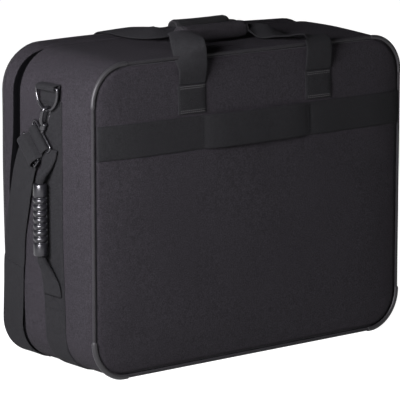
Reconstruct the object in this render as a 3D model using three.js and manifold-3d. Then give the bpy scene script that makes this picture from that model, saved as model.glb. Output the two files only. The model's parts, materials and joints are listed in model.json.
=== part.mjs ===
// Deep soft-sided carrying case with a zip-around lid, two carry handles, moulded side grips,
// a sleeve strap across the rear panel and a clip-on shoulder strap.
// Millimetres. +Z is up, the case is widest along X, the rear panel faces -Y and the lid faces +Y.
// The origin is at the centre of the footprint, on the surface that the case stands on.
import * as THREE from "three";
import { mergeVertices } from "three/addons/utils/BufferGeometryUtils.js";
import Module from "manifold-3d";

const wasm = await Module();
wasm.setup();

// ---- Driving dimensions ----
const WIDTH = 590;
const HEIGHT = 460;
const CORNER_RADIUS = 58;
const REAR_Y = -113; // outer face of the rear panel
const BODY_FRONT_Y = 62; // front edge of the body wall
const LID_REAR_Y = 72; // rear edge of the lid wall
const LID_FRONT_Y = 115; // outer face of the lid
const LID_EDGE_RADIUS = 16;

const GAP = 0.3; // clearance between touching pieces
const FABRIC = 2;
const FOAM = 6;
const LINING = 1.5;
const WEB_WIDTH = 50;
const WEB_THICKNESS = 1.8;
const BASE_Z = WEB_THICKNESS + GAP; // underside of the fabric, which stands on the webbing
const TOP_Z = BASE_Z + HEIGHT;
const SIDE_X = WIDTH / 2;

const PIPING_RADIUS = 2.5;
const GUARD_THICKNESS = 0.8;

const SIDE_WEB_Y = -20; // centre of the webbing round the sides and the base
const SIDE_WEB_TOP_Z = 404;
const SLING_Y = 88; // centre of the shoulder strap where it passes under the lid

const SLEEVE_Z = 350; // centre of the sleeve strap on the rear panel
const SLEEVE_SEAM_X = 102;
const SLEEVE_SLACK = 6.4;

const LEG_X = 121; // centre of each rear handle leg
const LID_LEG_X = 98;
const ANCHOR_LOW_Z = 379;
const ANCHOR_HIGH_Z = 421;

const GRIP_X = SIDE_X + 21;
const GRIP_Y = -13;
const GRIP_LOW_Z = 177;
const GRIP_HIGH_Z = 283;
const GRIP_RADIUS = 10.5;
const GRIP_BORE = 6;

const RING_X = SIDE_X + 12.5; // plane of the hanging D-ring
const RING_BAR_Z = 423;
const RING_LOW_Z = 390;
const RING_WIRE = 2.2;
const HOOK_TILT = THREE.MathUtils.degToRad(20);
const EYE_TILT = THREE.MathUtils.degToRad(26);

const ARC_STEPS = 3; // a corner of the outline has twice as many facets
const EDGE_STEPS = 4;

// ---- Materials ----
const finish = (color, roughness, metalness = 0) =>
  new THREE.MeshStandardMaterial({ color, roughness, metalness });
const MATERIALS = {
  fabric: () => finish(0x2b292d, 0.9),
  webbing: () => finish(0x222423, 0.8),
  guard: () => finish(0x4a4a4c, 0.6),
  foam: () => finish(0x5b5b5e, 0.95),
  board: () => finish(0x3a3a3c, 0.8),
  lining: () => finish(0x37363a, 0.9),
  zip: () => finish(0x151516, 0.7),
  plastic: () => finish(0x101011, 0.35),
  metal: () => finish(0x1a1a1c, 0.3, 0.8),
};

// ---- Solids and booleans ----
function toSolid(geometry) {
  const bare = geometry.clone();
  bare.deleteAttribute("normal");
  bare.deleteAttribute("uv");
  const merged = mergeVertices(bare, 1e-4);
  return new wasm.Manifold(
    new wasm.Mesh({
      numProp: 3,
      vertProperties: merged.attributes.position.array,
      triVerts: new Uint32Array(merged.index.array),
    }),
  );
}

function toGeometry(solid) {
  const mesh = solid.getMesh();
  const geometry = new THREE.BufferGeometry();
  geometry.setAttribute("position", new THREE.BufferAttribute(mesh.vertProperties, 3));
  geometry.setIndex(new THREE.BufferAttribute(mesh.triVerts, 1));
  return geometry;
}

const join = (...parts) => toGeometry(parts.map(toSolid).reduce((a, b) => a.add(b)));
const cut = (base, ...tools) =>
  toGeometry(tools.map(toSolid).reduce((a, b) => a.subtract(b), toSolid(base)));

// A box given by its low and high corners.
function block(x0, x1, y0, y1, z0, z1) {
  return new THREE.BoxGeometry(x1 - x0, y1 - y0, z1 - z0).translate(
    (x0 + x1) / 2,
    (y0 + y1) / 2,
    (z0 + z1) / 2,
  );
}

// The same geometry on the other side of the YZ plane, still facing out.
function mirrored(geometry) {
  const copy = geometry.index ? geometry.toNonIndexed() : geometry.clone();
  copy.deleteAttribute("normal");
  copy.deleteAttribute("uv");
  copy.scale(-1, 1, 1);
  const position = copy.attributes.position;
  for (let i = 0; i < position.count; i += 3) {
    const a = new THREE.Vector3().fromBufferAttribute(position, i + 1);
    const b = new THREE.Vector3().fromBufferAttribute(position, i + 2);
    position.setXYZ(i + 1, b.x, b.y, b.z);
    position.setXYZ(i + 2, a.x, a.y, a.z);
  }
  return mergeVertices(copy, 1e-4);
}

// A closed skin over a row of sections with the same number of points, capped at both ends
// unless the row itself is closed.
function skin(sections, closed = false) {
  const count = sections[0].length;
  const points = sections.flat();
  const index = [];
  const rows = closed ? sections.length : sections.length - 1;
  for (let i = 0; i < rows; i += 1) {
    const next = (i + 1) % sections.length;
    for (let j = 0; j < count; j += 1) {
      const k = (j + 1) % count;
      const corners = [i * count + j, i * count + k, next * count + k, next * count + j];
      index.push(corners[0], corners[1], corners[2], corners[0], corners[2], corners[3]);
    }
  }
  if (!closed) {
    const last = (sections.length - 1) * count;
    for (let j = 1; j < count - 1; j += 1) {
      index.push(0, j + 1, j, last, last + j, last + j + 1);
    }
  }
  const geometry = new THREE.BufferGeometry().setFromPoints(points);
  geometry.setIndex(index);
  return facingOut(geometry);
}

// Turns every face round when the closed surface encloses a negative volume.
function facingOut(geometry) {
  const position = geometry.attributes.position;
  const index = geometry.index.array;
  const corner = [new THREE.Vector3(), new THREE.Vector3(), new THREE.Vector3()];
  let volume = 0;
  for (let i = 0; i < index.length; i += 3) {
    corner.forEach((v, k) => v.fromBufferAttribute(position, index[i + k]));
    volume += corner[0].dot(corner[1].clone().cross(corner[2]));
  }
  if (volume < 0) {
    for (let i = 0; i < index.length; i += 3) {
      const held = index[i + 1];
      index[i + 1] = index[i + 2];
      index[i + 2] = held;
    }
  }
  return geometry;
}

// ---- Outlines of the case, in the XZ plane ----
// inset is how far the outline lies inside the outer face of the walls.
function outlineShape(inset) {
  const half = SIDE_X - inset;
  const low = BASE_Z + inset;
  const high = TOP_Z - inset;
  const r = CORNER_RADIUS - inset;
  const shape = new THREE.Shape();
  shape.moveTo(-half + r, low);
  shape.absarc(half - r, low + r, r, -Math.PI / 2, 0, false);
  shape.absarc(half - r, high - r, r, 0, Math.PI / 2, false);
  shape.absarc(-half + r, high - r, r, Math.PI / 2, Math.PI, false);
  shape.absarc(-half + r, low + r, r, Math.PI, 1.5 * Math.PI, false);
  return shape;
}

function outlinePoints(inset, y) {
  const points = outlineShape(inset).getPoints(ARC_STEPS);
  const kept = points.filter((p, i) => i === 0 || p.distanceTo(points[i - 1]) > 1e-3);
  if (kept[0].distanceTo(kept[kept.length - 1]) < 1e-3) kept.pop();
  return kept.map((p) => new THREE.Vector3(p.x, y, p.y));
}

// Extrudes an XZ shape from y0 to y1.
function slab(shape, y0, y1) {
  const geometry = new THREE.ExtrudeGeometry(shape, {
    depth: y1 - y0,
    bevelEnabled: false,
    curveSegments: ARC_STEPS,
  });
  return geometry.rotateX(Math.PI / 2).translate(0, y1, 0);
}

const plate = (inset, y0, y1) => slab(outlineShape(inset), y0, y1);

function band(outerInset, innerInset, y0, y1) {
  const shape = outlineShape(outerInset);
  shape.holes.push(outlineShape(innerInset));
  return slab(shape, y0, y1);
}

// ---- Tubes, ribbons and rings ----
function circle(radius, sides) {
  const shape = new THREE.Shape();
  shape.absarc(0, 0, radius, 0, 2 * Math.PI, false);
  return new THREE.Shape(shape.getPoints(sides).slice(0, sides));
}

function tube(points, radius, sides, steps) {
  const path = new THREE.CatmullRomCurve3(points, false, "centripetal");
  const geometry = new THREE.ExtrudeGeometry(circle(radius, sides), {
    steps,
    extrudePath: path,
    bevelEnabled: false,
  });
  return geometry;
}

// A closed planar loop of wire through the points; normal is the plane's.
function wireLoop(points, normal, radius, sides) {
  const sections = points.map((p, i) => {
    const before = points[(i + points.length - 1) % points.length];
    const after = points[(i + 1) % points.length];
    const along = after.clone().sub(before).normalize();
    const out = along.clone().cross(normal).normalize();
    return Array.from({ length: sides }, (_, j) => {
      const angle = (2 * Math.PI * j) / sides;
      const radial = out.clone().multiplyScalar(Math.cos(angle) * radius);
      return p.clone().add(radial).addScaledVector(normal, Math.sin(angle) * radius);
    });
  });
  return skin(sections, true);
}

// Flat webbing through stations of centre point, direction across and direction out.
function ribbon(stations) {
  const sections = stations.map(({ at, across, out, width = WEB_WIDTH, thick = WEB_THICKNESS }) => {
    const w = across.clone().normalize().multiplyScalar(width / 2);
    const t = out.clone().normalize().multiplyScalar(thick / 2);
    return [
      at.clone().add(w).add(t),
      at.clone().sub(w).add(t),
      at.clone().sub(w).sub(t),
      at.clone().add(w).sub(t),
    ];
  });
  return skin(sections);
}

const vec = (x, y, z) => new THREE.Vector3(x, y, z);

// ---- The group ----
const portfolioCase = new THREE.Group();
portfolioCase.name = "portfolio_case";

function add(name, geometry, material) {
  const mesh = new THREE.Mesh(geometry, MATERIALS[material]());
  mesh.name = name;
  portfolioCase.add(mesh);
  return mesh;
}

// Adds one piece on the -X side and its mirror image on the +X side.
function addPair(name, geometry, material) {
  add(`${name}_left`, geometry, material);
  add(`${name}_right`, mirrored(geometry), material);
}

// ---- Body ----
const PANEL_INSET = 4.3;
const PIPING_INSET = 1.5;
const PIPING_Y = REAR_Y + 1.5;
const PANEL_BACK_Y = REAR_Y + FABRIC;
const BOARD_BACK_Y = PANEL_BACK_Y + GAP + FOAM;
const WALL_REAR_Y = PIPING_Y + PIPING_RADIUS + GAP;
const FOAM_INSET = FABRIC + GAP;
const LINING_INSET = FOAM_INSET + FOAM + GAP;
const INNER_FRONT_Y = BODY_FRONT_Y - 4;

function bodyShell() {
  add("rear_panel", plate(PANEL_INSET, REAR_Y, PANEL_BACK_Y), "fabric");
  add("rear_board", plate(PANEL_INSET, PANEL_BACK_Y + GAP, BOARD_BACK_Y), "board");
  const hem = band(1, 6, BODY_FRONT_Y - FABRIC, BODY_FRONT_Y);
  const wall = band(0, FABRIC, WALL_REAR_Y, BODY_FRONT_Y);
  add("body_gusset", join(wall, hem), "fabric");
  add("body_foam", band(FOAM_INSET, FOAM_INSET + FOAM, BOARD_BACK_Y + GAP, INNER_FRONT_Y), "foam");
  const tub = band(LINING_INSET, LINING_INSET + LINING, BOARD_BACK_Y + GAP, INNER_FRONT_Y);
  const floor = plate(LINING_INSET + 1, BOARD_BACK_Y + GAP, BOARD_BACK_Y + GAP + LINING);
  add("body_lining", join(tub, floor), "lining");
}

function pipingAndGuards() {
  const route = outlinePoints(PIPING_INSET, PIPING_Y);
  add("rear_piping", wireLoop(route, vec(0, 1, 0), PIPING_RADIUS, 8), "webbing");

  // Each guard is a shallow channel that wraps the outside and rear of the piping round one corner.
  const inner = PIPING_RADIUS + GAP;
  const outer = inner + GUARD_THICKNESS;
  const angles = [-0.15, 0.5, 1.15, 1.8, 2.35];
  const radius = CORNER_RADIUS - PIPING_INSET;
  const centreX = SIDE_X - CORNER_RADIUS;
  const centres = {
    upper: TOP_Z - CORNER_RADIUS,
    lower: BASE_Z + CORNER_RADIUS,
  };
  for (const [level, z] of Object.entries(centres)) {
    const start = level === "upper" ? Math.PI / 2 : Math.PI;
    const sections = [];
    for (let i = 0; i <= 2 * ARC_STEPS; i += 1) {
      const turn = start + (Math.PI / 2) * (i / (2 * ARC_STEPS));
      const out = vec(Math.cos(turn), 0, Math.sin(turn));
      const centre = vec(-centreX, PIPING_Y, z).addScaledVector(out, radius);
      const point = (r, a) =>
        centre
          .clone()
          .addScaledVector(out, r * Math.cos(a))
          .add(vec(0, -r * Math.sin(a), 0));
      sections.push([
        ...angles.map((a) => point(outer, a)),
        ...[...angles].reverse().map((a) => point(inner, a)),
      ]);
    }
    addPair(`corner_guard_${level}`, skin(sections), "guard");
  }
}

function sleeveStrap() {
  const bottom = SLEEVE_Z - WEB_WIDTH / 2;
  const inner = REAR_Y - GAP;
  const end = SIDE_X - 6;
  const stations = [];
  const steps = 12;
  const across = vec(0, 0, 1);
  const place = (x, stand) =>
    stations.push({
      at: vec(x, inner - WEB_THICKNESS / 2 - stand, bottom + WEB_WIDTH / 2),
      across,
      out: vec(0, -1, 0),
    });
  place(-end, 0);
  for (let i = 0; i <= steps; i += 1) {
    const t = i / steps;
    const x = SLEEVE_SEAM_X * (2 * t - 1);
    place(x, SLEEVE_SLACK * (1 - (2 * t - 1) ** 4));
  }
  place(end, 0);
  add("sleeve_strap", ribbon(stations), "webbing");
}

function girthWebbing() {
  const loop = band(
    -GAP - WEB_THICKNESS,
    -GAP,
    SIDE_WEB_Y - WEB_WIDTH / 2,
    SIDE_WEB_Y + WEB_WIDTH / 2,
  );
  const above = block(-WIDTH, WIDTH, -WEB_WIDTH * 2, WEB_WIDTH * 2, SIDE_WEB_TOP_Z, TOP_Z + WEB_WIDTH);
  add("girth_webbing", cut(loop, above), "webbing");
}

// ---- Zip ----
const ZIP_Y = (BODY_FRONT_Y + LID_REAR_Y) / 2;
const ZIP_INSET = 4;
const ZIP_LOW_Z = BASE_Z + CORNER_RADIUS;
const SLIDER_A_X = -28;
const SLIDER_B_X = -2;
const SLIDER_TOP_Z = TOP_Z + 2.6;

function zipTapes() {
  const below = block(-WIDTH, WIDTH, 0, WIDTH, -10, ZIP_LOW_Z);
  const tape = (y0, y1, toothY0, toothY1) =>
    cut(
      join(
        band(ZIP_INSET, ZIP_INSET + 1.2, y0, y1),
        band(ZIP_INSET - 0.6, ZIP_INSET + 1.8, toothY0, toothY1),
      ),
      below,
    );
  add("body_zip_tape", tape(BODY_FRONT_Y + GAP, ZIP_Y - 0.2, ZIP_Y - 1.8, ZIP_Y - 0.2), "zip");
  add("lid_zip_tape", tape(ZIP_Y + 0.2, LID_REAR_Y - GAP, ZIP_Y + 0.2, ZIP_Y + 1.8), "zip");
}

function zipSlider(name, x, side) {
  const low = TOP_Z - ZIP_INSET + 0.6 + GAP;
  const body = block(x - 6, x + 6, ZIP_Y - 3.8, ZIP_Y + 3.8, low, TOP_Z - 0.6);
  const bridge = block(x - 4, x + 4, ZIP_Y - 1, ZIP_Y + 1, TOP_Z - 1, SLIDER_TOP_Z);
  const hole = block(x - 2, x + 2, ZIP_Y - 4, ZIP_Y + 4, TOP_Z - 0.65, SLIDER_TOP_Z - 1);
  add(`zip_slider_${name}`, cut(join(body, bridge), hole), "metal");

  // The pull lies outward from the bridge, with its cross bar through the bridge's hole.
  const z0 = TOP_Z - 0.2;
  const z1 = z0 + 1.3;
  const reach = 30;
  const shape = [
    [-0.7, 0.7, -3.8, 3.8],
    [4.6, reach, -3.8, 3.8],
    [-0.7, 6, -3.8, -1.6],
    [-0.7, 6, 1.6, 3.8],
  ].map(([a, b, y0, y1]) => {
    const [xa, xb] = side > 0 ? [x + a, x + b] : [x - b, x - a];
    return block(xa, xb, ZIP_Y + y0, ZIP_Y + y1, z0, z1);
  });
  add(`zip_pull_${name}`, join(...shape), "metal");
}

function lidHinge() {
  const half = SIDE_X - CORNER_RADIUS;
  const strip = block(-half, half, BODY_FRONT_Y + GAP, LID_REAR_Y - GAP, BASE_Z, BASE_Z + 1.2);
  add("hinge_fabric", strip, "fabric");
}

// ---- Lid ----
function lid() {
  const rimFront = LID_FRONT_Y - LID_EDGE_RADIUS;
  const hem = band(1, 6, LID_REAR_Y, LID_REAR_Y + FABRIC);
  add("lid_rim", join(band(0, FABRIC, LID_REAR_Y, rimFront), hem), "fabric");

  // The front cover curves back over the edge foam to meet the rim.
  const dome = (inset, radius, y0, front) => {
    const sections = [outlinePoints(inset, y0)];
    for (let i = 0; i <= EDGE_STEPS; i += 1) {
      const turn = (Math.PI / 2) * (i / EDGE_STEPS);
      const in_ = inset + radius * (1 - Math.cos(turn));
      sections.push(outlinePoints(in_, front - radius + radius * Math.sin(turn)));
    }
    return skin(sections);
  };
  const coverRear = rimFront + GAP;
  const outer = dome(0, LID_EDGE_RADIUS - GAP - 0.2, coverRear, LID_FRONT_Y);
  const hollow = dome(FABRIC, LID_EDGE_RADIUS - GAP - 0.2 - FABRIC, coverRear - 1, LID_FRONT_Y - FABRIC);
  add("lid_panel", cut(outer, hollow), "fabric");

  const foamFront = LID_FRONT_Y - FABRIC - GAP;
  const foam = dome(FOAM_INSET, LID_EDGE_RADIUS - GAP - FABRIC - GAP, LID_REAR_Y + 4, foamFront);
  const foamHollow = plate(FOAM_INSET + FOAM, LID_REAR_Y, foamFront - FOAM);
  add("lid_foam", cut(foam, foamHollow), "foam");

  const liningFront = foamFront - FOAM - GAP;
  const wall = band(LINING_INSET, LINING_INSET + LINING, LID_REAR_Y + 4, liningFront);
  const sheet = plate(LINING_INSET + 1, liningFront - LINING, liningFront);
  add("lid_lining", join(wall, sheet), "lining");
}

// ---- Carry handles ----
// One webbing loop: two legs of full width, folded double where they pass through the wrap.
function handle({ legX, faceY, side, wrapY, wrapZ, wrapX0, wrapX1, rise }) {
  const foldWidth = 20;
  const foldThick = 4;
  // The legs leave the anchors one webbing thickness further out, where they fold.
  const skinY = faceY + side * (2 * GAP + 1.5 * WEB_THICKNESS + 0.2);
  const leg = (x, wrapX) => {
    const inward = Math.sign(wrapX - x);
    return [
      { at: vec(x, skinY, ANCHOR_HIGH_Z + 1.6), across: vec(1, 0, 0), out: vec(0, side, 0) },
      { at: vec(x, skinY + side * 4, 444), across: vec(1, 0, 0), out: vec(0, side, 0.1) },
      { at: vec(x, skinY + side * 3, TOP_Z + 5), across: vec(1, 0, 0), out: vec(0, side, 0.9) },
      {
        at: vec(x + inward * 4, skinY - side * 16, TOP_Z + 10 + rise / 2),
        across: vec(1, 0, 0),
        out: vec(0, side * 0.3, 1),
      },
      {
        at: vec(x + (wrapX - x) * 0.4, skinY + (wrapY - skinY) * 0.6, TOP_Z + 12 + rise),
        across: vec(1, inward * side * 0.35, 0),
        out: vec(0, 0, 1),
        width: 40,
      },
      {
        at: vec(wrapX - inward * 6, wrapY, wrapZ),
        across: vec(0.1, -inward * side, 0),
        out: vec(0, 0, 1),
        width: foldWidth + 6,
        thick: foldThick,
      },
    ];
  };
  const core = [wrapX0, wrapX1].map((x) => ({
    at: vec(x, wrapY, wrapZ),
    across: vec(0, side, 0),
    out: vec(0, 0, 1),
    width: foldWidth,
    thick: foldThick,
  }));
  const left = leg(-legX, wrapX0);
  const right = leg(legX, wrapX1).reverse();
  // The width direction keeps one sense along the whole loop.
  const stations = [...left, ...core, ...right];
  for (let i = 1; i < stations.length; i += 1) {
    if (stations[i].across.dot(stations[i - 1].across) < 0) stations[i].across.negate();
  }
  return ribbon(stations);
}

function wrap(x0, x1, y, z, halfDepth, halfHeight) {
  const sides = 16;
  const sections = (grow) => (x, fill) =>
    Array.from({ length: sides }, (_, i) => {
      const a = (2 * Math.PI * i) / sides;
      return vec(x, y + grow(halfDepth) * fill * Math.cos(a), z + grow(halfHeight) * fill * Math.sin(a));
    });
  const outer = sections((r) => r);
  const body = skin([
    outer(x0, 0.8),
    outer(x0 + 4, 0.97),
    outer(x0 + 12, 1),
    outer(x1 - 12, 1),
    outer(x1 - 4, 0.97),
    outer(x1, 0.8),
  ]);
  const slot = block(x0 - 1, x1 + 1, y - 10.4, y + 10.4, z - 2.4, z + 2.4);
  return cut(body, slot);
}

const REAR_WRAP = { x0: -74, x1: 50, y: -30, z: 481.5, depth: 16, height: 13 };
const LID_WRAP = { x0: -46, x1: 58, y: 22, z: 484, depth: 13, height: 12.5 };

function carryHandles() {
  const anchor = (x, y0, y1) =>
    block(x - WEB_WIDTH / 2, x + WEB_WIDTH / 2, y0, y1, ANCHOR_LOW_Z, ANCHOR_HIGH_Z);
  const rearFace = REAR_Y - GAP;
  const lidFace = LID_FRONT_Y + GAP;
  addPair("rear_anchor", anchor(-LEG_X, rearFace - WEB_THICKNESS, rearFace), "webbing");
  addPair("lid_anchor", anchor(-LID_LEG_X, lidFace, lidFace + WEB_THICKNESS), "webbing");

  const rear = handle({
    legX: LEG_X,
    faceY: REAR_Y,
    side: -1,
    wrapY: REAR_WRAP.y,
    wrapZ: REAR_WRAP.z,
    wrapX0: REAR_WRAP.x0,
    wrapX1: REAR_WRAP.x1,
    rise: 3,
  });
  add("rear_handle_webbing", rear, "webbing");
  const front = handle({
    legX: LID_LEG_X,
    faceY: LID_FRONT_Y,
    side: 1,
    wrapY: LID_WRAP.y,
    wrapZ: LID_WRAP.z,
    wrapX0: LID_WRAP.x0,
    wrapX1: LID_WRAP.x1,
    rise: 3,
  });
  add("lid_handle_webbing", front, "webbing");
  for (const [name, w] of [["rear", REAR_WRAP], ["lid", LID_WRAP]]) {
    add(`${name}_handle_wrap`, wrap(w.x0, w.x1, w.y, w.z, w.depth, w.height), "fabric");
  }
}

// ---- Side grips ----
function sideGrips() {
  const ribs = 7;
  const collar = 20;
  const ribbed = GRIP_HIGH_Z - GRIP_LOW_Z - 2 * collar;
  const pitch = ribbed / ribs;
  const profile = [
    [GRIP_BORE + GAP, GRIP_LOW_Z],
    [GRIP_RADIUS - 1, GRIP_LOW_Z],
    [GRIP_RADIUS, GRIP_LOW_Z + 2],
    [GRIP_RADIUS, GRIP_LOW_Z + collar - 1],
  ];
  for (let i = 0; i < ribs; i += 1) {
    const z = GRIP_LOW_Z + collar + i * pitch;
    profile.push(
      [GRIP_RADIUS - 1.6, z],
      [GRIP_RADIUS - 1.6, z + 1.4],
      [GRIP_RADIUS, z + 2.4],
      [GRIP_RADIUS, z + pitch - 1],
    );
  }
  profile.push(
    [GRIP_RADIUS - 1.6, GRIP_HIGH_Z - collar],
    [GRIP_RADIUS - 1.6, GRIP_HIGH_Z - collar + 1.2],
    [GRIP_RADIUS, GRIP_HIGH_Z - collar + 2.2],
    [GRIP_RADIUS, GRIP_HIGH_Z - 2],
    [GRIP_RADIUS - 1, GRIP_HIGH_Z],
    [GRIP_BORE + GAP, GRIP_HIGH_Z],
    [GRIP_BORE + GAP, GRIP_LOW_Z],
  );
  const turned = new THREE.LatheGeometry(
    profile.map(([r, z]) => new THREE.Vector2(r, z)),
    12,
  );
  const grip = facingOut(mergeVertices(stripped(turned), 1e-4));
  grip.rotateX(Math.PI / 2).translate(-GRIP_X, GRIP_Y, 0);
  addPair("side_grip", facingOut(grip), "plastic");

  // The rolled webbing leaves the wall above the grip, runs through it and returns below.
  const wall = SIDE_X + GAP + WEB_THICKNESS + GRIP_BORE + 0.7;
  const core = tube(
    [
      vec(-wall, GRIP_Y, GRIP_HIGH_Z + 27),
      vec(-wall - 2, GRIP_Y, GRIP_HIGH_Z + 18),
      vec(-GRIP_X, GRIP_Y, GRIP_HIGH_Z + 4),
      vec(-GRIP_X, GRIP_Y, GRIP_HIGH_Z - 4),
      vec(-GRIP_X, GRIP_Y, (GRIP_HIGH_Z + GRIP_LOW_Z) / 2),
      vec(-GRIP_X, GRIP_Y, GRIP_LOW_Z + 4),
      vec(-GRIP_X, GRIP_Y, GRIP_LOW_Z - 4),
      vec(-wall - 2, GRIP_Y, GRIP_LOW_Z - 18),
      vec(-wall, GRIP_Y, GRIP_LOW_Z - 27),
    ],
    GRIP_BORE - 0.6,
    8,
    20,
  );
  addPair("grip_webbing", core, "webbing");
}

function stripped(geometry) {
  const bare = geometry.clone();
  bare.deleteAttribute("normal");
  bare.deleteAttribute("uv");
  return bare;
}

// ---- D-rings, snap hooks and shoulder strap, built on the -X side ----
const xAxis = vec(1, 0, 0);
const yAxis = vec(0, 1, 0);
const RING_HALF = 25.5; // half the length of the ring's straight bar
const TAB_WIDTH = 44;

// The webbing loop that holds the ring's bar: a flat tail on the wall and a roll round the bar.
function ringTabs() {
  const bore = RING_WIRE + 0.6;
  const roll = new THREE.CylinderGeometry(bore + 2, bore + 2, TAB_WIDTH, 14)
    .translate(0, SIDE_WEB_Y, 0)
    .applyMatrix4(new THREE.Matrix4().makeTranslation(-RING_X, 0, RING_BAR_Z));
  const hole = new THREE.CylinderGeometry(bore, bore, WEB_WIDTH + 10, 14)
    .translate(0, SIDE_WEB_Y, 0)
    .applyMatrix4(new THREE.Matrix4().makeTranslation(-RING_X, 0, RING_BAR_Z));
  const inner = SIDE_X + GAP;
  const tail = block(
    -RING_X,
    -inner,
    SIDE_WEB_Y - TAB_WIDTH / 2,
    SIDE_WEB_Y + TAB_WIDTH / 2,
    RING_BAR_Z + 2,
    RING_BAR_Z + bore + 2,
  );
  const low = block(
    -inner - WEB_THICKNESS,
    -inner,
    SIDE_WEB_Y - TAB_WIDTH / 2,
    SIDE_WEB_Y + TAB_WIDTH / 2,
    SIDE_WEB_TOP_Z + GAP,
    RING_BAR_Z + bore + 2,
  );
  const solid = cut(join(roll, tail, low), hole);
  addPair("ring_tab", solid, "webbing");
}

function dRings() {
  const points = [];
  const high = RING_BAR_Z;
  const drop = RING_BAR_Z - RING_LOW_Z;
  const place = (y, z) => points.push(vec(-RING_X, SIDE_WEB_Y + y, z));
  place(-RING_HALF + 2, high);
  place(RING_HALF - 2, high);
  place(RING_HALF, high - 2);
  const steps = 14;
  for (let i = 0; i <= steps; i += 1) {
    const turn = (Math.PI * i) / steps;
    place(RING_HALF * Math.cos(turn), high - 6 - (drop - 6) * Math.sin(turn));
  }
  place(-RING_HALF, high - 2);
  addPair("d_ring", wireLoop(points, xAxis, RING_WIRE, 8), "metal");
}

// The pieces below the ring hang from its lowest point, turned by the hook's tilt about it.
const HOOK_TOP = vec(-RING_X, SIDE_WEB_Y, RING_LOW_Z);
function hung(geometry) {
  const place = new THREE.Matrix4().makeTranslation(HOOK_TOP.x, HOOK_TOP.y, HOOK_TOP.z);
  const turn = new THREE.Matrix4().makeRotationX(HOOK_TILT);
  return geometry.applyMatrix4(place.multiply(turn));
}

const BOW = 7; // radius of the hook's bow to its centre
const HOOK_WIRE = 2.2;
const BOW_Z = RING_WIRE + GAP - (BOW - HOOK_WIRE);
const STUD_Z = -34;

function snapHooks() {
  const bow = [];
  const steps = 8;
  bow.push(vec(BOW, 0, BOW_Z - 6));
  for (let i = 0; i <= steps; i += 1) {
    const turn = (Math.PI * i) / steps;
    bow.push(vec(BOW * Math.cos(turn), 0, BOW_Z + BOW * Math.sin(turn)));
  }
  bow.push(vec(-BOW, 0, BOW_Z - 10), vec(-BOW + 2.5, 0, -20), vec(0, 0, -26));
  const wire = tube(bow, HOOK_WIRE, 8, 26);
  const heel = block(-5.5, 8.2, -1.6, 1.6, -25, -20.6);
  const barrel = new THREE.CylinderGeometry(4.6, 5, 7.4, 14).rotateX(Math.PI / 2).translate(0, 0, -27.5);
  const bore = new THREE.CylinderGeometry(2.6, 2.6, 6, 12).rotateX(Math.PI / 2).translate(0, 0, -31);
  addPair("snap_hook", hung(cut(join(wire, heel, barrel), bore)), "metal");

  // The sprung gate closes the mouth between the nose and the heel.
  const gate = join(
    block(BOW - 1.5, BOW + 1.5, -2.2, 2.2, -19.8, BOW_Z - 6.6),
    block(BOW - 1.5, BOW + 2.3, -2.2, 2.2, -16, -13.4),
  );
  addPair("hook_gate", hung(gate), "metal");
}

const EYE_HALF = 27;
const EYE_DEPTH = 11;
const EYE_WIRE = 1.7;
const EYE_Z = STUD_Z - EYE_DEPTH / 2 - 2.8;

// The strap eye lies across the strap; its stud turns in the hook's barrel.
function strapEyes() {
  const corner = 4;
  const points = [];
  for (const [sy, sz, start] of [
    [1, 1, 0],
    [-1, 1, 1],
    [-1, -1, 2],
    [1, -1, 3],
  ]) {
    for (let i = 0; i <= 3; i += 1) {
      const turn = (Math.PI / 2) * (start + i / 3);
      points.push(
        vec(
          0,
          sy * (EYE_HALF - corner) + corner * Math.cos(turn),
          sz * (EYE_DEPTH / 2 - corner) + corner * Math.sin(turn),
        ),
      );
    }
  }
  const loop = wireLoop(points, xAxis, EYE_WIRE, 6).rotateX(EYE_TILT).translate(0, 0, EYE_Z);
  const stud = new THREE.CylinderGeometry(2.2, 2.2, 8, 12)
    .rotateX(Math.PI / 2)
    .translate(0, 0, STUD_Z + 0.8);
  addPair("strap_eye", hung(join(loop, stud)), "metal");
}

// ---- Shoulder strap ----
// A point of the strap end: along the eye's bar, down the strap and out from the case.
function strapEnd(along, down, out) {
  const point = vec(-out, along, -down).applyAxisAngle(xAxis, EYE_TILT);
  point.z += EYE_Z;
  return point.applyAxisAngle(xAxis, HOOK_TILT).add(HOOK_TOP);
}

const turnedEnd = (geometry) => hung(geometry.rotateX(EYE_TILT).translate(0, 0, EYE_Z));
const END_WIDTH = 46;
const BAR_DROP = EYE_DEPTH / 2;
const END_THICKNESS = 3.4;
const ADJUSTER_DROP = 30;
const STRAP_START = 44;

// The end of the strap is folded round the eye's lower bar and stitched to itself.
function strapEnds() {
  const half = END_WIDTH / 2;
  const bore = EYE_WIRE + 0.5;
  const roll = new THREE.CylinderGeometry(bore + 1.8, bore + 1.8, END_WIDTH, 12).translate(0, 0, -BAR_DROP);
  const hole = new THREE.CylinderGeometry(bore, bore, END_WIDTH + 10, 12).translate(0, 0, -BAR_DROP);
  const tail = block(
    -END_THICKNESS / 2,
    END_THICKNESS / 2,
    -half,
    half,
    -STRAP_START + GAP,
    -BAR_DROP - bore - 0.4,
  );
  addPair("strap_end", turnedEnd(cut(join(roll, tail), hole)), "webbing");

  // The three-bar adjuster lies on the outer face of the folded end.
  const x1 = -END_THICKNESS / 2 - GAP;
  const x0 = x1 - 2.6;
  const frame = block(x0, x1, -27, 27, -ADJUSTER_DROP - 8, -ADJUSTER_DROP + 8);
  const slots = [-1, 1].map((k) =>
    block(x0 - 1, x1 + 1, -23.8, 23.8, -ADJUSTER_DROP + k * 4 - 2.2, -ADJUSTER_DROP + k * 4 + 2.2),
  );
  addPair("strap_adjuster", turnedEnd(cut(frame, ...slots)), "metal");
}

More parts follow.
